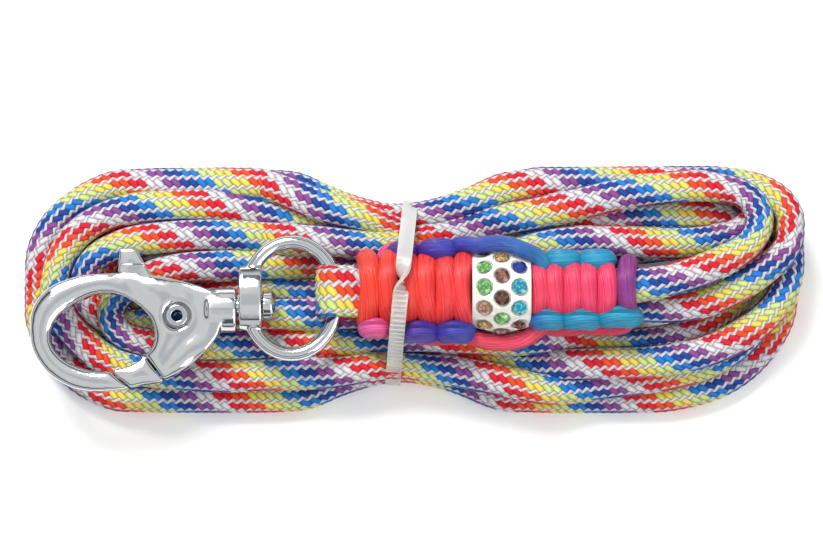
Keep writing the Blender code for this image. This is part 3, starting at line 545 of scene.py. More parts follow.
def yarn_colour(tree, column, place, white):
    """A colour lasts two floats, and moves on by one float from column to column."""
    number = node(tree, MATH, {0: place}, operation="FLOOR")
    shifted = node(tree, MATH, {0: column, 1: COLUMN_SHIFT, 2: number}, operation="MULTIPLY_ADD")
    period = FLOATS_TO_A_COLOUR * len(BRAID_COLOURS)
    turns = node(tree, MATH, {0: shifted, 1: period}, operation="DIVIDE")
    share = node(tree, MATH, {0: turns}, operation="FRACT")
    ramp = node(tree, RAMP, {"Fac": share})
    ramp.color_ramp.interpolation = "CONSTANT"
    set_stops(ramp, [(i / len(BRAID_COLOURS), code) for i, code in enumerate(BRAID_COLOURS)])
    tinted = node(tree, MATH, {0: white, 1: 1.0 - BLEED}, operation="MULTIPLY")
    return node(tree, MIX, {0: tinted, 6: ramp, 7: srgb(WHITE_YARN)}, data_type="RGBA").outputs[2]


def float_crown(tree, place, across):
    """Height of a float: 1 on its crown, 0 at its ends and sides."""
    part = node(tree, MATH, {0: place}, operation="FRACT")
    along = node(tree, MATH, {0: part, 1: 0.5}, operation="SUBTRACT")
    humps = []
    for share in (across, along):
        angle = node(tree, MATH, {0: share, 1: math.pi}, operation="MULTIPLY")
        humps.append(node(tree, MATH, {0: angle}, operation="COSINE"))
    crown = node(tree, MATH, {0: humps[0], 1: humps[1]}, operation="MULTIPLY")
    crown = node(tree, MATH, {0: crown, 1: 0.0}, operation="MAXIMUM")
    return node(tree, MATH, {0: crown, 1: 0.45}, operation="POWER")


def braid_material():
    """Dull yarn with painted shade between its floats, with the fine filaments of each float raised.
    """
    material, tree, shader = new_material("braided_polyester_yarn")
    column, place, across, white = float_lattice(tree)
    colour = yarn_colour(tree, column, place, white)
    crown = float_crown(tree, place, across)
    # painted shade: the yarn's colour falls to about a quarter at each float's ends and sides, where
    # it dives under
    shade = node(tree, "ShaderNodeMapRange", {"Value": crown, "From Max": 0.85, "To Min": 0.26})
    shaded = node(tree, MIX, {0: 1.0, 6: colour, 7: shade}, data_type="RGBA",
                  blend_type="MULTIPLY")
    # five filaments to a float, far fewer than in life, so that they show
    angle = node(tree, MATH, {0: place, 1: math.tau * 5}, operation="MULTIPLY")
    filaments = node(tree, MATH, {0: angle}, operation="SINE")
    height = node(tree, MATH, {0: filaments, 1: 0.06, 2: crown}, operation="MULTIPLY_ADD")
    bump = node(tree, BUMP, {"Height": height, "Strength": 0.8, "Distance": 0.0003})
    plug(tree, shader, {"Base Color": shaded.outputs[2], "Normal": bump, "Roughness": 0.72,
                        "Sheen Weight": 0.05, "IOR": 1.4})
    return material


braid = braid_material()
print(braid.name, len(braid.node_tree.nodes), "nodes,", len(BRAID_COLOURS), "yarn colours")

# %% [markdown]
# ## The wound cord
# The rows of the mesh sit half a float apart along the settled line, so the lattice never
# stretches. The cord narrows a little in its bends, is squeezed by the tie, and is gripped
# thin inside the collar. Both legs start their colours at the collar, so the piece that runs
# home counts its length from the other end.

# %% The wound cord
HIDDEN_LAYER_Z = 5.0                # the cord turns back below this, under the collar
GRIPPED = 40.0                      # length at each end that the collar squeezes
GRIP_X = 57.0
GRIP_FADE = 8.0
GRIP_THICKNESS = 0.58               # share of its height that is left in the grip
BEND_BLUR = 15                      # rows over which a bend's sharpness is averaged
COLOURS_HOMEWARD = 5.0              # where the colours start on each leg, mm
COLOURS_OUTWARD = -8.5
NARROWED = 0.16                     # by bends, and by the tie
THICKENED = 0.10

rings = spline(settled, FLOAT_PITCH / 2)
distance = np.concatenate([[0], np.cumsum(np.linalg.norm(np.diff(rings, axis=0), axis=1))])
total = distance[-1]
beneath = (rings[:, 2] < HIDDEN_LAYER_Z) * (distance > 0.8 * total) * (np.abs(rings[:, 1]) < 6)
homeward = np.arange(len(rings)) > int(np.argmax(beneath * rings[:, 0]))
along = np.where(homeward, total - distance + COLOURS_HOMEWARD, distance + COLOURS_OUTWARD)
heading = np.unwrap(np.arctan2(*np.gradient(rings, axis=0)[:, 1::-1].T))
bend = np.convolve(np.abs(np.gradient(heading, distance)), np.ones(BEND_BLUR) / BEND_BLUR, "same")
in_collar = np.minimum(distance, total - distance) <= GRIPPED
loose = np.where(in_collar, np.clip((rings[:, 0] - GRIP_X) / GRIP_FADE, 0, 1), 1.0)
width = 0.5 * (CORD_WIDTH + 0.3) * (1 - np.clip(bend * 2.2, 0, NARROWED)) + 0.5 * (1 - loose)
thick = 0.5 * CORD_HEIGHT * (GRIP_THICKNESS + (1 - GRIP_THICKNESS) * loose)
squeeze = np.where(in_collar, 0.0, pinch(rings[:, 0]))
width *= 1 - NARROWED * squeeze
thick *= 1 + THICKENED * squeeze
wound = braid_tube("wound_cord", rings, width, thick, along, homeward, braid, front_share=0.54)
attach(wound, "hank")
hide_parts("hank_coil", "front_leg_cord", "back_leg_cord")
print("wound cord", round(total), "mm,", len(wound.data.polygons) * 2, "triangles")

# %% [markdown]
# ## The flattened bight round the ring
# Where the cord doubles round the ring its braid spreads into a tape about 14 mm wide. It
# runs through the whole collar, so the knots have something to grip. It could be a bent
# strip with a printed braid, but it is the same braid on the same lattice here, so its
# floats match the cord's, with more of its columns on the face that shows.

# %% Ring tape
RING_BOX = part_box("ring_eye")
RING_WIRE = 1.95                    # radius of the ring's wire
TAPE_Y = COLLAR_Y - 0.5
WIRE_X = RING_BOX[1][0] / MM - RING_WIRE
EYE_LINE = 5.0                      # tape's own middle line round the wire
LEG_RISE = 2.4
COLLAR_END_X = 54.0
TAPE_COLOURS = 18.0                 # where its colours start, mm
TAPE_HALF_WIDTH = 6.1
TAPE_HALF_THICKNESS = 1.25
SPREAD_X = -9.0                     # where it leaves the collar, and spreads over 5 mm


def tape_route():
    """Through the collar, round the wire and back, in mm."""
    turn = [(WIRE_X + EYE_LINE * math.cos(a), TAPE_Y, AXIS_Z + EYE_LINE * math.sin(a))
            for a in np.linspace(0.55 * math.pi, 1.45 * math.pi, 9)]
    there = [(x, TAPE_Y, AXIS_Z + LEG_RISE) for x in (COLLAR_END_X, 40, 20, 0, SPREAD_X)]
    there.append((-13.5, TAPE_Y, AXIS_Z + LEG_RISE + 0.9))
    back = [(x, y, 2 * AXIS_Z - z) for x, y, z in there[::-1]]
    return there + turn + back


tape_line = spline(tape_route(), FLOAT_PITCH / 2)
tape_along = np.arange(len(tape_line)) * FLOAT_PITCH / 2 + TAPE_COLOURS
near_ring = np.clip((SPREAD_X - tape_line[:, 0]) / 5, 0, 1)
tape = braid_tube("ring_tape", tape_line, TAPE_HALF_WIDTH + 0.7 * near_ring,
                  TAPE_HALF_THICKNESS - 0.25 * near_ring, tape_along,
                  np.zeros(len(tape_line), bool), braid, side=(0, -1, 0), squareness=3.0,
                  front_share=0.72)
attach(tape, "hank")
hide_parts("ring_bight_cord")

# %% [markdown]
# ## Satin cord
# The collar is tied in 4 to 5 mm satin "rattail": a soft core wrapped in straight rayon
# filaments, which give it a silky highlight across and fine lines along. A bevelled curve
# has the same shape but keeps no record of where along it a point lies. A Geometry Nodes
# tree sweeps every strand of one colour from its line, and stores how far along and around
# each point lies, so that the filaments in the material follow the strand.

# %% Geometry Nodes tree that sweeps strands
def new_tree(name, inputs):
    """A geometry tree with named inputs. Returns it with its input and output nodes."""
    tree = bpy.data.node_groups.new(name, "GeometryNodeTree")
    tree.interface.new_socket("Geometry", in_out="INPUT", socket_type="NodeSocketGeometry")
    for title, kind, value in inputs:
        socket = tree.interface.new_socket(title, in_out="INPUT", socket_type=kind)
        if value is not None:
            socket.default_value = value
    tree.interface.new_socket("Geometry", in_out="OUTPUT", socket_type="NodeSocketGeometry")
    return tree, node(tree, "NodeGroupInput"), node(tree, "NodeGroupOutput")


def stored(tree, geometry, name, value, kind="FLOAT"):
    """Stores a named value on the geometry's points."""
    return node(tree, "GeometryNodeStoreNamedAttribute",
                {"Geometry": geometry, "Name": name, "Value": value},
                data_type=kind, domain="POINT").outputs["Geometry"]


def finish_tree(tree, geometry, material, group_out):
    """Ends a tree of smooth pieces: instances made real, then the material."""
    real = node(tree, "GeometryNodeRealizeInstances", {"Geometry": geometry})
    smooth = node(tree, "GeometryNodeSetShadeSmooth", {"Geometry": real.outputs[0]})
    painted = node(tree, "GeometryNodeSetMaterial", {"Geometry": smooth.outputs[0],
                                                     "Material": material})
    tree.links.new(painted.outputs[0], group_out.inputs[0])


def strand_tree():
    """Sweeps a round or flattened section along every line, and keeps where each point is."""
    tree, given, out = new_tree("satin_strand", [
        ("Strand radius", "NodeSocketFloat", 2.2 * MM), ("Flatness", "NodeSocketFloat", 0.9),
        ("Material", "NodeSocketMaterial", None)])
    length = node(tree, "GeometryNodeSplineParameter").outputs["Length"]
    line = stored(tree, given.outputs["Geometry"], "along", length)
    ring = node(tree, "GeometryNodeCurvePrimitiveCircle",
                {"Resolution": 18, "Radius": given.outputs["Strand radius"]}, mode="RADIUS")
    part = node(tree, "GeometryNodeSplineParameter").outputs["Factor"]
    ring = stored(tree, ring.outputs["Curve"], "around", part)
    size = node(tree, "ShaderNodeCombineXYZ", {"X": 1.0, "Y": given.outputs["Flatness"],
                                               "Z": 1.0})
    ring = node(tree, "GeometryNodeTransform", {"Geometry": ring, "Scale": size.outputs[0]})
    swept = node(tree, "GeometryNodeCurveToMesh",
                 {"Curve": line, "Profile Curve": ring.outputs[0], "Fill Caps": True})
    finish_tree(tree, swept.outputs["Mesh"], given.outputs["Material"], out)
    return tree


STRAND_TREE = strand_tree()
print(STRAND_TREE.name, len(STRAND_TREE.nodes), "nodes")


# %% From a tree to a plain mesh
def plain_copy(name, source):
    """Keeps what an object's modifiers make as a plain mesh piece, and drops the object."""
    bpy.context.view_layer.update()
    graph = bpy.context.evaluated_depsgraph_get()
    mesh = bpy.data.meshes.new_from_object(source.evaluated_get(graph))
    mesh.name = name
    made = add_object(name, mesh)
    bpy.data.objects.remove(source, do_unlink=True)
    return made


def apply_tree(name, source, tree, values):
    """Runs a tree on an object and keeps its result as a plain mesh piece."""
    modifier = source.modifiers.new(tree.name, "NODES")
    modifier.node_group = tree
    for item in tree.interface.items_tree:
        if item.in_out == "INPUT" and item.name in values:
            modifier[item.identifier] = values[item.name]
    return plain_copy(name, source)


def line_object(name, paths, closed=False):
    """A curve object with one poly spline for each path, in mm."""
    data = bpy.data.curves.new(name + "_line", "CURVE")
    data.dimensions = "3D"
    for path in paths:
        poly = data.splines.new("POLY")
        poly.points.add(len(path) - 1)
        for point, place in zip(poly.points, path):
            point.co = (*(np.array(place, float) * MM), 1.0)
        poly.use_cyclic_u = closed
    return add_object(name + "_line", data)


def strands(name, paths, radius, material, flatness=0.9, closed=False):
    """Sweeps one piece's strands, in mm, and lets it ride the hank."""
    made = apply_tree(name, line_object(name, paths, closed), STRAND_TREE,
                      {"Strand radius": radius * MM, "Flatness": flatness,
                       "Material": material})
    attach(made, "hank")
    print(name, len(made.data.polygons), "faces")
    return made


# %% [markdown]
# ## Satin's shine and colours
# Rayon filaments lie straight along the cord, so light runs off them in a band across each
# turn, broken by fine dark lines. The bought cord is dyed in long fades: the colour of a knot
# depends on where along the collar it was tied. So the colour is read from the piece's own X
# and the filaments from the two numbers that the tree stored.

# %% Satin material
DYE_START = -0.014                  # the collar's two ends, m
DYE_END = 0.059
FILAMENTS_AROUND = 46.0             # drawn about 0.5 mm apart, coarser than life, to show
FILAMENTS_ALONG = 70.0
TWIST = 9.0                         # turns of the filaments to a metre of cord


def satin(name, stops):
    """Rayon filaments: a soft sheen and fine lines along, dyed in a fade."""
    material, tree, shader = new_material(name)
    x = node(tree, "ShaderNodeSeparateXYZ", {0: object_place(tree)}).outputs["X"]
    share = node(tree, "ShaderNodeMapRange", {"Value": x, "From Min": DYE_START,
                                              "From Max": DYE_END})
    dye = node(tree, RAMP, {"Fac": share})
    set_stops(dye, stops)
    around = node(tree, "ShaderNodeAttribute", attribute_name="around").outputs["Fac"]
    along = node(tree, "ShaderNodeAttribute", attribute_name="along").outputs["Fac"]
    twist = node(tree, MATH, {0: along, 1: TWIST, 2: around}, operation="MULTIPLY_ADD")
    wide = node(tree, MATH, {0: twist, 1: FILAMENTS_AROUND}, operation="MULTIPLY")
    long = node(tree, MATH, {0: along, 1: FILAMENTS_ALONG}, operation="MULTIPLY")
    vector = node(tree, "ShaderNodeCombineXYZ", {"X": wide, "Y": long})
    threads = node(tree, NOISE, {"Vector": vector, "Scale": 1.0, "Detail": 3.0,
                                 "Roughness": 0.6}).outputs["Fac"]
    shade = node(tree, "ShaderNodeMapRange", {"Value": threads, "From Min": 0.32,
                                              "From Max": 0.62, "To Min": 0.42, "To Max": 1.1})
    shaded = node(tree, MIX, {0: 1.0, 6: dye, 7: shade}, data_type="RGBA", blend_type="MULTIPLY")
    bump = node(tree, BUMP, {"Height": threads, "Strength": 0.9, "Distance": 0.0005})
    plug(tree, shader, {"Base Color": shaded.outputs[2], "Normal": bump, "Roughness": 0.36,
                        "Sheen Weight": 0.04, "IOR": 1.5})
    return material


coral_satin = satin("coral_rayon_satin", [(0.0, "#f73a24"), (0.35, "#f63a3c"), (0.6, "#f73f5e"),
                                          (1.0, "#f83f74")])
blue_satin = satin("blue_rayon_satin", [(0.0, "#5c1f86"), (0.16, "#4a2494"), (0.28, "#352a9e"),
                                        (0.42, "#2c41aa"), (0.62, "#1a68b4"), (0.68, "#0e8fb8"),
                                        (1.0, "#0d93bb")])
plum_satin = satin("plum_rayon_satin", [(0.0, "#c04a9a"), (1.0, "#8c2f86")])
pink_satin = satin("pink_rayon_satin", [(0.0, "#e0579c"), (0.3, "#f94560"), (1.0, "#fa3f66")])
print("satin dyes", [m.name for m in (coral_satin, blue_satin, plum_satin, pink_satin)])

# %% [markdown]
# ## The knotted collar's bars
# A cobra sinnet is a row of square knots. In each half knot the coral cord crosses the
# front as a bar, and the blue cord loops over the bar's end. The true path of a sinnet could
# be drawn knot by knot. The front bars are whole turns here instead, because the back of the
# sinnet shows the same bars, and whole turns leave no loose ends inside.

# %% Bars
LEFT_BARS = [-11.7, -6.4, -1.3, 3.4, 8.1, 12.9]
RIGHT_BARS = [32.5, 36.9, 41.3, 45.7, 50.2]
END_BAR = 55.9
BAR_RISE = 5.9
BAR_POINTS = 44
BAR_SQUARENESS = 0.85               # below 1 the turn is boxier than an oval


def bar(x, middle, half_width, bow):
    """One turn of cord round the core, bowed sideways a little."""
    turn = []
    for a in np.linspace(0, math.tau, BAR_POINTS, endpoint=False):
        side = np.sign(math.cos(a)) * abs(math.cos(a)) ** BAR_SQUARENESS
        turn.append((x + bow * math.cos(2 * a), middle + half_width * side,
                     AXIS_Z + BAR_RISE * math.sin(a)))
    return turn


def bars(places, middle, half_width, bow):
    """A row of turns, bowed to the two sides in turn."""
    return [bar(x, middle, half_width, bow if i % 2 else -bow) for i, x in enumerate(places)]


left_bars = strands("left_knot_bars", bars(LEFT_BARS, -1.1, 8.0, 0.5), 2.85, coral_satin, 0.95,
                    closed=True)
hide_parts("left_knot_sleeve")
right_bars = strands("right_knot_bars", bars(RIGHT_BARS, -1.2, 6.4, 0.4), 2.66, coral_satin,
                     0.97, closed=True)
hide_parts("right_knot_sleeve")
strands("end_knot_bar", [bar(END_BAR, -0.8, 6.6, 0.5)], 2.55, plum_satin, 0.95, closed=True)

# %% [markdown]
# ## The collar's side loops
# At each side the blue cord comes out from under one bar, runs over the ends of two as a fat
# bump, and goes in under the next. One long cord would have to be threaded through every
# bar. Short loops whose ends are buried in the bars look the same and are easier to place.

# %% Side bumps
LEFT_REACH = 10.6                   # how far out from the middle the loops lie
LEFT_NEAR_REACH = 11.2              # on the side toward the viewer
RIGHT_REACH = 7.8
LEFT_INSET = 1.8                    # how far inside its span a loop's middle line starts
RIGHT_INSET = 1.725
LOOP_RISE = 4.2                     # how high a loop's middle stands over the collar's middle
FLAT_RISE = 2.2                     # and where the cable tie presses on it
LOOP_STEP = 0.55


def bump_path(x0, x1, side, reach, inset, rise=LOOP_RISE):
    """Loop over a bar's end: out from under one bar and back in under the next."""
    y = COLLAR_Y + side * reach
    half = [(inset + 0.6, y - side * 2.2, AXIS_Z - 3.6), (inset + 0.2, y - side * 0.6, AXIS_Z - 0.9),
            (inset + 0.5, y - side * 0.1, AXIS_Z + rise - 1.5)]
    middle = ((x0 + x1) / 2, y - side * 0.1, AXIS_Z + rise)
    return spline([(x0 + x, y, z) for x, y, z in half] + [middle]
                  + [(x1 - x, y, z) for x, y, z in half[::-1]], LOOP_STEP)


blue_bumps = [bump_path(-6.2, 1.1, 1, LEFT_REACH - 0.4, LEFT_INSET, FLAT_RISE),
              bump_path(2.1, 10.9, 1, LEFT_REACH, LEFT_INSET),
              bump_path(-3.4, 6.1, -1, LEFT_NEAR_REACH, LEFT_INSET),
              bump_path(6.3, 15.3, -1, LEFT_NEAR_REACH, LEFT_INSET)]
aqua_bumps = [bump_path(34.4, 43.4, 1, RIGHT_REACH, RIGHT_INSET),
              bump_path(43.4, 52.4, 1, RIGHT_REACH, RIGHT_INSET),
              bump_path(30.6, 39.3, -1, RIGHT_REACH, RIGHT_INSET),
              bump_path(39.1, 48.5, -1, RIGHT_REACH, RIGHT_INSET),
              bump_path(48.6, 59.0, -1, RIGHT_REACH - 0.6, RIGHT_INSET)]
strands("side_loops", blue_bumps + aqua_bumps, 3.1, blue_satin, 0.97)
strands("pink_side_loop", [bump_path(-13.8, -6.3, -1, 10.2, LEFT_INSET)], 2.85, pink_satin, 0.97)


# %% Turns of the bar cord that peek out
def peek(x0, x1, side, reach):
    """The bar cord's own turns, which peek out beyond the loops."""
    y = COLLAR_Y + side * reach
    return spline([(x0, y - side * 3.5, AXIS_Z - 2.5), (x0 + 2, y - side * 0.6, AXIS_Z - 2.2),
                   ((x0 + x1) / 2, y, AXIS_Z - 2), (x1 - 2, y - side * 0.6, AXIS_Z - 2.2),
                   (x1, y - side * 3.5, AXIS_Z - 2.5)], 0.8)


strands("pink_turns", [peek(-8.5, 5.0, 1, 11.8), peek(0.5, 13.0, 1, 11.6),
                       peek(-1.0, 14.0, -1, 12.6), peek(34.0, 52.0, 1, 9.2),
                       peek(33.0, 46.0, -1, 10.2), peek(43.0, 57.5, -1, 10.0)], 1.7, pink_satin)

# %% [markdown]
# ## Long strands past the bead
# Knots can't be tied over the bead, so the blue cord passes above it and the pink one below,
# and the sinnet starts again beyond. Free points in space would do, but they have to be
# found again whenever the bead changes. Here they are a distance out from the bead and an
# angle round it.

# %% Long strands
BEAD_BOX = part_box("bead")
BEAD_X = (BEAD_BOX[0][0] + BEAD_BOX[1][0]) / 2 / MM
BEAD_LENGTH = (BEAD_BOX[1][0] - BEAD_BOX[0][0]) / MM
BEAD_RADIUS = 11.0
BEAD_CROWN = 1.6                    # how much slimmer the barrel is at its ends
BEAD_GAP = 2.6                      # from the bead to the upper strand's middle line
STRAND_RADIUS = 2.2
STRAND_STEP = 0.6


def round_bead(x, clearance, degrees):
    """A place beside the bead: a distance out from its surface, at an angle."""
    share = (x - BEAD_X) / (BEAD_LENGTH / 2)
    reach = BEAD_RADIUS - BEAD_CROWN * min(1.0, share * share) + clearance
    a = math.radians(degrees)
    return (x, COLLAR_Y + reach * math.cos(a), AXIS_Z + reach * math.sin(a))


over_bead = [round_bead(x, BEAD_GAP, degrees)
             for x, degrees in ((16.5, 25), (20.5, 28), (25.0, 33), (28.6, 39))]
upper = spline([(7.6, 7.4, 17.6), (9.4, 9.0, 19.6), (12.6, 10.4, 22.0)] + over_bead
               + [(31.8, 7.2, 25.0), (33.6, 5.2, 24.0), (34.4, 3.0, 21.8)], STRAND_STEP)
under_bead = [round_bead(x, BEAD_GAP + 0.1, degrees)
              for x, degrees in ((17.0, 186), (20.5, 184), (25.0, 182), (29.0, 183))]
lower = spline([(11.5, -10.5, 16.5), (13.2, -12.8, 17.2)] + under_bead
               + [(32.4, -12.0, 17.4), (35.0, -9.6, 16.6)], STRAND_STEP)
upper_strand = strands("upper_long_strand", [upper], STRAND_RADIUS, blue_satin)
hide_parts("upper_bypass_strand")
lower_strand = strands("lower_long_strand", [lower], STRAND_RADIUS, pink_satin)
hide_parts("lower_bypass_strand")

# %% [markdown]
# ## Chrome
# Zinc castings are polished and plated with chrome, a near mirror: its looks come from what
# it reflects. A perfect mirror would look like a drawing, so a slow ripple bends the
# reflections as hand polishing does, and faint smudges dull them here and there.

# %% Chrome
def plated_metal(name, tint, roughness):
    """Polished metal with a slight ripple and a few smudges."""
    material, tree, shader = new_material(name)
    place = object_place(tree)
    smudge = node(tree, NOISE, {"Vector": place, "Scale": 160.0, "Detail": 4.0})
    rough = node(tree, "ShaderNodeMapRange", {"Value": smudge.outputs["Fac"], "From Min": 0.35,
                                              "From Max": 0.75, "To Min": roughness,
                                              "To Max": roughness + 0.12})
    waves = node(tree, NOISE, {"Vector": place, "Scale": 330.0, "Detail": 1.0})
    bump = node(tree, BUMP, {"Height": waves.outputs["Fac"], "Strength": 0.25,
                             "Distance": 0.0003})
    plug(tree, shader, {"Base Color": srgb(tint), "Metallic": 1.0, "Roughness": rough,
                        "Normal": bump})
    return material


polished_chrome = plated_metal("polished_chrome_plate", "#d4d6d7", 0.06)
print(polished_chrome.name, "ready")

# %% [markdown]
# ## The castings
# Hook, gate, ring and rivets are cast or turned, then polished, so no edge is sharp. Bevels
# would need clean edges, which a CAD mesh of loose triangles lacks. A fine voxel copy of
# each CAD solid, smoothed a few times, gives the worn-in radii and keeps every fit.

# %% Softened castings
def softened(piece, source, voxel, rounds, material, body):
    """Copies a CAD solid as a fine voxel mesh with its edges worn round."""
    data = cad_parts[source].data.copy()
    work = bmesh.new()
    work.from_mesh(data)
    bmesh.ops.remove_doubles(work, verts=work.verts, dist=1e-6)
    work.to_mesh(data)
    work.free()
    copy = add_object(piece + "_work", data)
    remesh = copy.modifiers.new("voxels", "REMESH")
    remesh.mode = "VOXEL"
    remesh.voxel_size = voxel * MM
    smooth = copy.modifiers.new("soften", "SMOOTH")
    smooth.iterations = rounds
    smooth.factor = 0.5
    made = plain_copy(piece, copy)
    mesh = made.data
    mesh.materials.clear()
    mesh.materials.append(material)
    mesh.polygons.foreach_set("use_smooth", [True] * len(mesh.polygons))
    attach(made, body)
    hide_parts(source)
    print(piece, len(mesh.polygons), "faces")
    return made


# %% Domed faces
WALL = 0.35                         # a face this upright or less belongs to a side wall
BLUR_ROUNDS = 40
NECK_FADE = 3.0


def dome(made, height, reach, neck):
    """Rounds both faces of a flat casting over toward its outline, left of its neck."""
    mesh = made.data
    places = np.empty(len(mesh.vertices) * 3)
    mesh.vertices.foreach_get("co", places)
    places = places.reshape(-1, 3)
    normals = np.empty(len(mesh.vertices) * 3)
    mesh.vertices.foreach_get("normal", normals)
    walls = places[np.abs(normals.reshape(-1, 3)[:, 2]) < WALL]
    outline = KDTree(len(walls))
    for i, place in enumerate(walls):
        outline.insert((place[0], place[1], 0.0), i)
    outline.balance()
    near = [outline.find((place[0], place[1], 0.0))[2] / MM for place in places]
    drop = (1 - np.clip(np.array(near) / reach, 0, 1)) ** 2
    drop *= np.clip((neck - places[:, 0] / MM) / NECK_FADE, 0, 1)
    edges = np.empty(len(mesh.edges) * 2, int)
    mesh.edges.foreach_get("vertices", edges)
    first, second = edges.reshape(-1, 2).T
    count = np.bincount(edges, minlength=len(places))
    for _ in range(BLUR_ROUNDS):
        around = np.bincount(first, drop[second], len(places))
        around += np.bincount(second, drop[first], len(places))
        drop = around / count
    middle = (places[:, 2].max() + places[:, 2].min()) / 2
    share = (places[:, 2] - middle) / (places[:, 2].max() - middle)
    places[:, 2] -= np.clip(share, -1, 1) * height * MM * drop
    mesh.vertices.foreach_set("co", places.reshape(-1))
    mesh.update()
    print(made.name, "domed by up to", round(height * float(drop.max()), 2), "mm")


# %% Hook, gate, ring and rivets
# piece, CAD node, voxel size in mm, rounds of smoothing, body
CASTINGS = [("cast_hook", "hook_body", 0.30, 30, "hook"), ("trigger_gate", "gate", 0.26, 14, "gate"),
            ("swivel_ring", "ring_eye", 0.28, 18, "ring"),
            ("swivel_pin", "swivel_rivet", 0.2, 12, "hook"),
            ("hollow_rivet", "gate_rivet", 0.14, 3, "hook")]
# how far the face falls at its edge, how far in that starts, and where the neck is, mm
DOMES = {"cast_hook": (1.5, 3.0, -54.0), "trigger_gate": (1.0, 2.4, 0.0)}

for piece, source, voxel, rounds, body in CASTINGS:
    made = softened(piece, source, voxel, rounds, polished_chrome, body)
    if piece in DOMES:
        dome(made, *DOMES[piece])

# %% [markdown]
# ## The spring
# Drawn from tempered steel wire, grey beside the chrome. It sits in its pocket and is hardly
# seen, so the CAD node itself is kept and only takes a material.

# %% Spring
steel = plated_metal("tempered_spring_steel", "#8f9094", 0.25)
for material_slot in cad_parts["gate_spring"].material_slots:
    material_slot.material = steel
print("gate spring in", steel.name)

# %% [markdown]
# ## The bead
# A hand-rolled barrel of white polymer clay, glazed. Rolled clay is never quite round, and
# its glaze pools in shallow dents. The dents could be sculpted, but they are shallower than
# a tenth of a millimetre, so a bump does, on a softened copy of the CAD bead.

# %% Clay
def glazed_clay():
    """Off-white, soft inside and glossy on top, with shallow finger dents."""
    material, tree, shader = new_material("glazed_polymer_clay")
    dents = node(tree, NOISE, {"Vector": object_place(tree), "Scale": 420.0,
                               "Detail": 3.0}).outputs["Fac"]
    shade = node(tree, RAMP, {"Fac": dents})
    set_stops(shade, [(0.3, "#d9d6ca"), (0.6, "#ecebe2")])
    bump = node(tree, BUMP, {"Height": dents, "Strength": 0.4, "Distance": 0.0003})
    plug(tree, shader, {"Base Color": shade, "Normal": bump, "Roughness": 0.3,
                        "Coat Weight": 0.4, "Coat Roughness": 0.12, "Subsurface Weight": 0.1,
                        "Subsurface Scale": 0.001})
    return material


softened("clay_bead", "bead", 0.22, 3, glazed_clay(), "hank")

# %% [markdown]
# ## Glass stones
# Flat-topped brilliants with a foil back, bright in the middle and dark at the rim. Real
# foiled glass would need the foil and many facets to be traced. A glossy colour with painted
# glints in small cells reads the same at this size.

# %% Glass
STONE_TINTS = ["#3f6b2c", "#6d3f2c", "#7cc46c", "#b98468", "#8f5a48", "#0b2f9c", "#2ab3cc",
               "#d3a566"]


def glass_material():
    """Coated, half metallic colour: the foil seen through the glass, with painted glints in small
    cells.
    """
    material, tree, shader = new_material("foiled_glass_stone")
    tint = node(tree, "ShaderNodeAttribute", attribute_name="tint").outputs["Fac"]
    middle = node(tree, MATH, {0: tint, 1: 0.5}, operation="ADD")
    share = node(tree, MATH, {0: middle, 1: len(STONE_TINTS)}, operation="DIVIDE")
    ramp = node(tree, RAMP, {"Fac": share})
    ramp.color_ramp.interpolation = "CONSTANT"
    set_stops(ramp, [(i / len(STONE_TINTS), code) for i, code in enumerate(STONE_TINTS)])
    # painted glints: small cells brighten the colour up to 1.7 times at their middles and dim it to
    # 0.45 at their edges
    cells = node(tree, "ShaderNodeTexVoronoi", {"Vector": object_place(tree), "Scale": 1400.0})
    painted_glint = node(tree, "ShaderNodeMapRange", {"Value": cells.outputs["Distance"],
                                                "From Max": 0.6, "To Min": 1.7, "To Max": 0.45})
    shaded = node(tree, MIX, {0: 1.0, 6: ramp, 7: painted_glint}, data_type="RGBA",
                  blend_type="MULTIPLY")
    plug(tree, shader, {"Base Color": shaded.outputs[2], "Metallic": 0.35, "Roughness": 0.12,
                        "Coat Weight": 1.0, "Coat Roughness": 0.03})
    return material


glass = glass_material()
print(glass.name, len(STONE_TINTS), "tints")

# %% [markdown]
# ## The stones' places
# The stones are pressed in by eye in three rings, each facing straight out of the bead. The
# CAD model already says where, so each CAD stone gives one point with its facing and its
# tint, and a Geometry Nodes tree puts a cut stone on every point.

# %% Stones
STONES_IN_RING = 11
RING_TINTS = [[2, 3, 7, 1, 6, 2, 4, 5, 3, 1, 2], [1, 2, 4, 6, 3, 1, 7, 2, 5, 7, 4],
              [6, 6, 1, 7, 2, 4, 1, 3, 6, 2, 5]]
STONE_NAMES = [f"rhinestone_{i + 1:02d}" for i in range(len(RING_TINTS) * STONES_IN_RING)]
STONE_LIFT = 0.25                   # how far a cut stone stands out from the CAD one's middle


def stone_tree():
    """Puts a cut stone on each point, facing the way that the point says."""
    tree, given, out = new_tree("pressed_stones", [
        ("Stone radius", "NodeSocketFloat", 1.95 * MM), ("Table radius", "NodeSocketFloat", MM),
        ("Crown", "NodeSocketFloat", 0.6 * MM), ("Facets", "NodeSocketInt", 10),
        ("Material", "NodeSocketMaterial", None)])
    crown = node(tree, "GeometryNodeMeshCone", {
        "Vertices": given.outputs["Facets"], "Radius Top": given.outputs["Table radius"],
        "Radius Bottom": given.outputs["Stone radius"], "Depth": given.outputs["Crown"]})
    facing = node(tree, "GeometryNodeInputNamedAttribute", {"Name": "facing"},
                  data_type="FLOAT_VECTOR")
    turn = node(tree, "FunctionNodeAlignRotationToVector",
                {"Vector": facing.outputs["Attribute"]}, axis="Z")
    placed = node(tree, "GeometryNodeInstanceOnPoints", {
        "Points": given.outputs["Geometry"], "Instance": crown.outputs["Mesh"],
        "Rotation": turn})
    real = node(tree, "GeometryNodeRealizeInstances", {"Geometry": placed})
    painted = node(tree, "GeometryNodeSetMaterial", {"Geometry": real,
                                                     "Material": given.outputs["Material"]})
    plug(tree, out, {0: painted})
    return tree


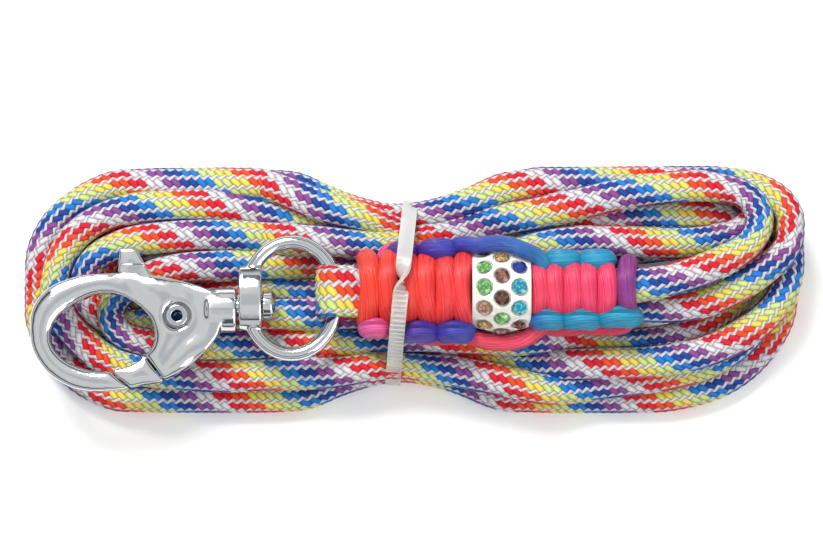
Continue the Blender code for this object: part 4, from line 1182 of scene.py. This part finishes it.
def stone_points():
    """One point for each CAD stone, at its middle, with its facing and its tint."""
    places, facing, tints = [], [], []
    for i, name in enumerate(STONE_NAMES):
        low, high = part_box(name)
        middle = (np.array(low) + np.array(high)) / 2
        out = middle - np.array([middle[0], COLLAR_Y * MM, AXIS_Z * MM])
        out /= np.linalg.norm(out)
        places.append(middle + out * STONE_LIFT * MM)
        facing.append(out)
        tints.append(RING_TINTS[i // STONES_IN_RING][i % STONES_IN_RING])
    mesh = bpy.data.meshes.new("stone_points")
    mesh.from_pydata([tuple(p) for p in places], [], [])
    layer = mesh.attributes.new("facing", "FLOAT_VECTOR", "POINT")
    layer.data.foreach_set("vector", np.array(facing).reshape(-1))
    layer = mesh.attributes.new("tint", "FLOAT", "POINT")
    layer.data.foreach_set("value", np.array(tints, float))
    return add_object("stone_points", mesh)


stones = apply_tree("glass_stones", stone_points(), stone_tree(), {"Material": glass})
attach(stones, "hank")
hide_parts(*STONE_NAMES)
print("glass stones", len(stones.data.polygons), "faces")

# %% [markdown]
# ## Nylon
# Natural nylon, moulded. This thin it lets light through and scatters it, so it reads milky.
# Glass alone would be too clear and paint too solid: some of both, with a faint cloudiness
# from the way the melt flowed, comes out between them.

# %% Nylon
def milky_nylon():
    """Half clear and half scattering, with soft clouds."""
    material, tree, shader = new_material("natural_nylon")
    flow = node(tree, NOISE, {"Vector": object_place(tree), "Scale": 240.0,
                              "Detail": 3.0}).outputs["Fac"]
    shade = node(tree, RAMP, {"Fac": flow})
    set_stops(shade, [(0.0, "#e9e5df"), (1.0, "#fbf9f6")])
    bump = node(tree, BUMP, {"Height": flow, "Strength": 0.3, "Distance": 0.0004})
    plug(tree, shader, {"Base Color": shade, "Normal": bump, "Roughness": 0.3,
                        "Transmission Weight": 0.55, "IOR": 1.53, "Subsurface Weight": 0.3,
                        "Subsurface Scale": 0.003})
    return material


nylon = milky_nylon()
print(nylon.name, "ready")

# %% [markdown]
# ## The cable tie
# A strap with a ladder of fine teeth on one face. It went on with a half twist, so the smooth
# back shows above the middle and the teeth show below it. A curve with a tilt could carry
# the twist but not the teeth, so the section is swept in a loop here: every fourth pair of
# sections is drawn a little deeper, which makes a tooth.

# %% Strap
TIE_SLANT = math.radians(-5.6)
TIE_TOP = AXIS_Z + 9.1              # over the bars, with room for the strap's thickness
TIE_LOW = 25.0                      # the strap's reach on the near side, and the far one
TIE_HIGH = 23.4
TIE_FLOOR = 0.95
TOOTH = 1.3
TOOTH_HEIGHT = 0.6
TOOTH_SHARE = 0.55                  # of the strap's width
HALF_WIDTH = 2.0
HALF_THICKNESS = 0.5
SECTION = [(-HALF_WIDTH, -HALF_THICKNESS), (-HALF_WIDTH * TOOTH_SHARE, -HALF_THICKNESS),
           (HALF_WIDTH * TOOTH_SHARE, -HALF_THICKNESS), (HALF_WIDTH, -HALF_THICKNESS),
           (HALF_WIDTH, HALF_THICKNESS), (HALF_WIDTH * TOOTH_SHARE, HALF_THICKNESS),
           (-HALF_WIDTH * TOOTH_SHARE, HALF_THICKNESS), (-HALF_WIDTH, HALF_THICKNESS)]
TWIST_START = -6.0                  # across the hank, mm
TWIST_LENGTH = 13.0


def tie_route():
    """Loop round hank and collar in its own upright plane, (across, up) in mm."""
    low = TIE_FLOOR
    points = [(0.0, low), (-14.0, low), (-TIE_LOW + 4.0, low + 0.3), (-TIE_LOW + 0.6, 3.4),
              (-TIE_LOW, 7.0), (-TIE_LOW + 1.6, 11.0), (-20.4, 16.0), (-15.4, 22.2),
              (-12.2, 25.6), (-8.6, TIE_TOP), (-1.0, TIE_TOP), (5.4, TIE_TOP), (8.6, 25.6),
              (11.8, 22.6), (18.6, 15.0), (TIE_HIGH - 1.4, 11.0), (TIE_HIGH, 7.0),
              (TIE_HIGH - 0.6, 3.4), (TIE_HIGH - 4.0, low + 0.3), (14.0, low), (0.0, low)]
    return spline([(y, 0.0, z) for y, z in points], TOOTH / 4)


def tie_twist(line):
    """Half a turn over the collar's top, from 0 to pi, eased in and out."""
    over = line[:, 2] > AXIS_Z
    share = np.where(over, np.clip((line[:, 0] - TWIST_START) / TWIST_LENGTH, 0, 1),
                     (line[:, 0] > 0) * 1.0)
    return share * share * (3 - 2 * share) * math.pi


def tie_points(line):
    """Every section's points, twisted, set on the line and turned to the tie's slant."""
    _, across, out = frames(line, (0.0, -1.0, 0.0))
    cosine, sine = math.cos(TIE_SLANT), math.sin(TIE_SLANT)
    points = []
    for i, a in enumerate(tie_twist(line)):
        for j, (u, v) in enumerate(SECTION):
            if j in (1, 2) and i % 4 < 2:
                v += TOOTH_HEIGHT
            flat = across[i] * (u * math.cos(a) - v * math.sin(a))
            point = line[i] + flat + out[i] * (u * math.sin(a) + v * math.cos(a))
            x, y = -point[1], point[0]
            points.append((WAIST_X + cosine * x - sine * y, sine * x + cosine * y,
                           max(point[2], 0.1)))
    return np.array(points)


def cable_tie():
    line = tie_route()
    count, size = len(line), len(SECTION)
    faces = [(i * size + j, i * size + (j + 1) % size, (i + 1) * size + (j + 1) % size,
              (i + 1) * size + j) for i in range(count - 1) for j in range(size)]
    faces.append(tuple(range(size - 1, -1, -1)))
    faces.append(tuple((count - 1) * size + j for j in range(size)))
    made = mesh_object("cable_tie_strap", tie_points(line) * MM, faces, nylon, smooth=False)
    work = bmesh.new()
    work.from_mesh(made.data)
    bmesh.ops.recalc_face_normals(work, faces=work.faces)
    work.to_mesh(made.data)
    work.free()
    return made


strap = cable_tie()
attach(strap, "hank")
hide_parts("cable_tie")
print("cable tie", len(strap.data.polygons), "faces")
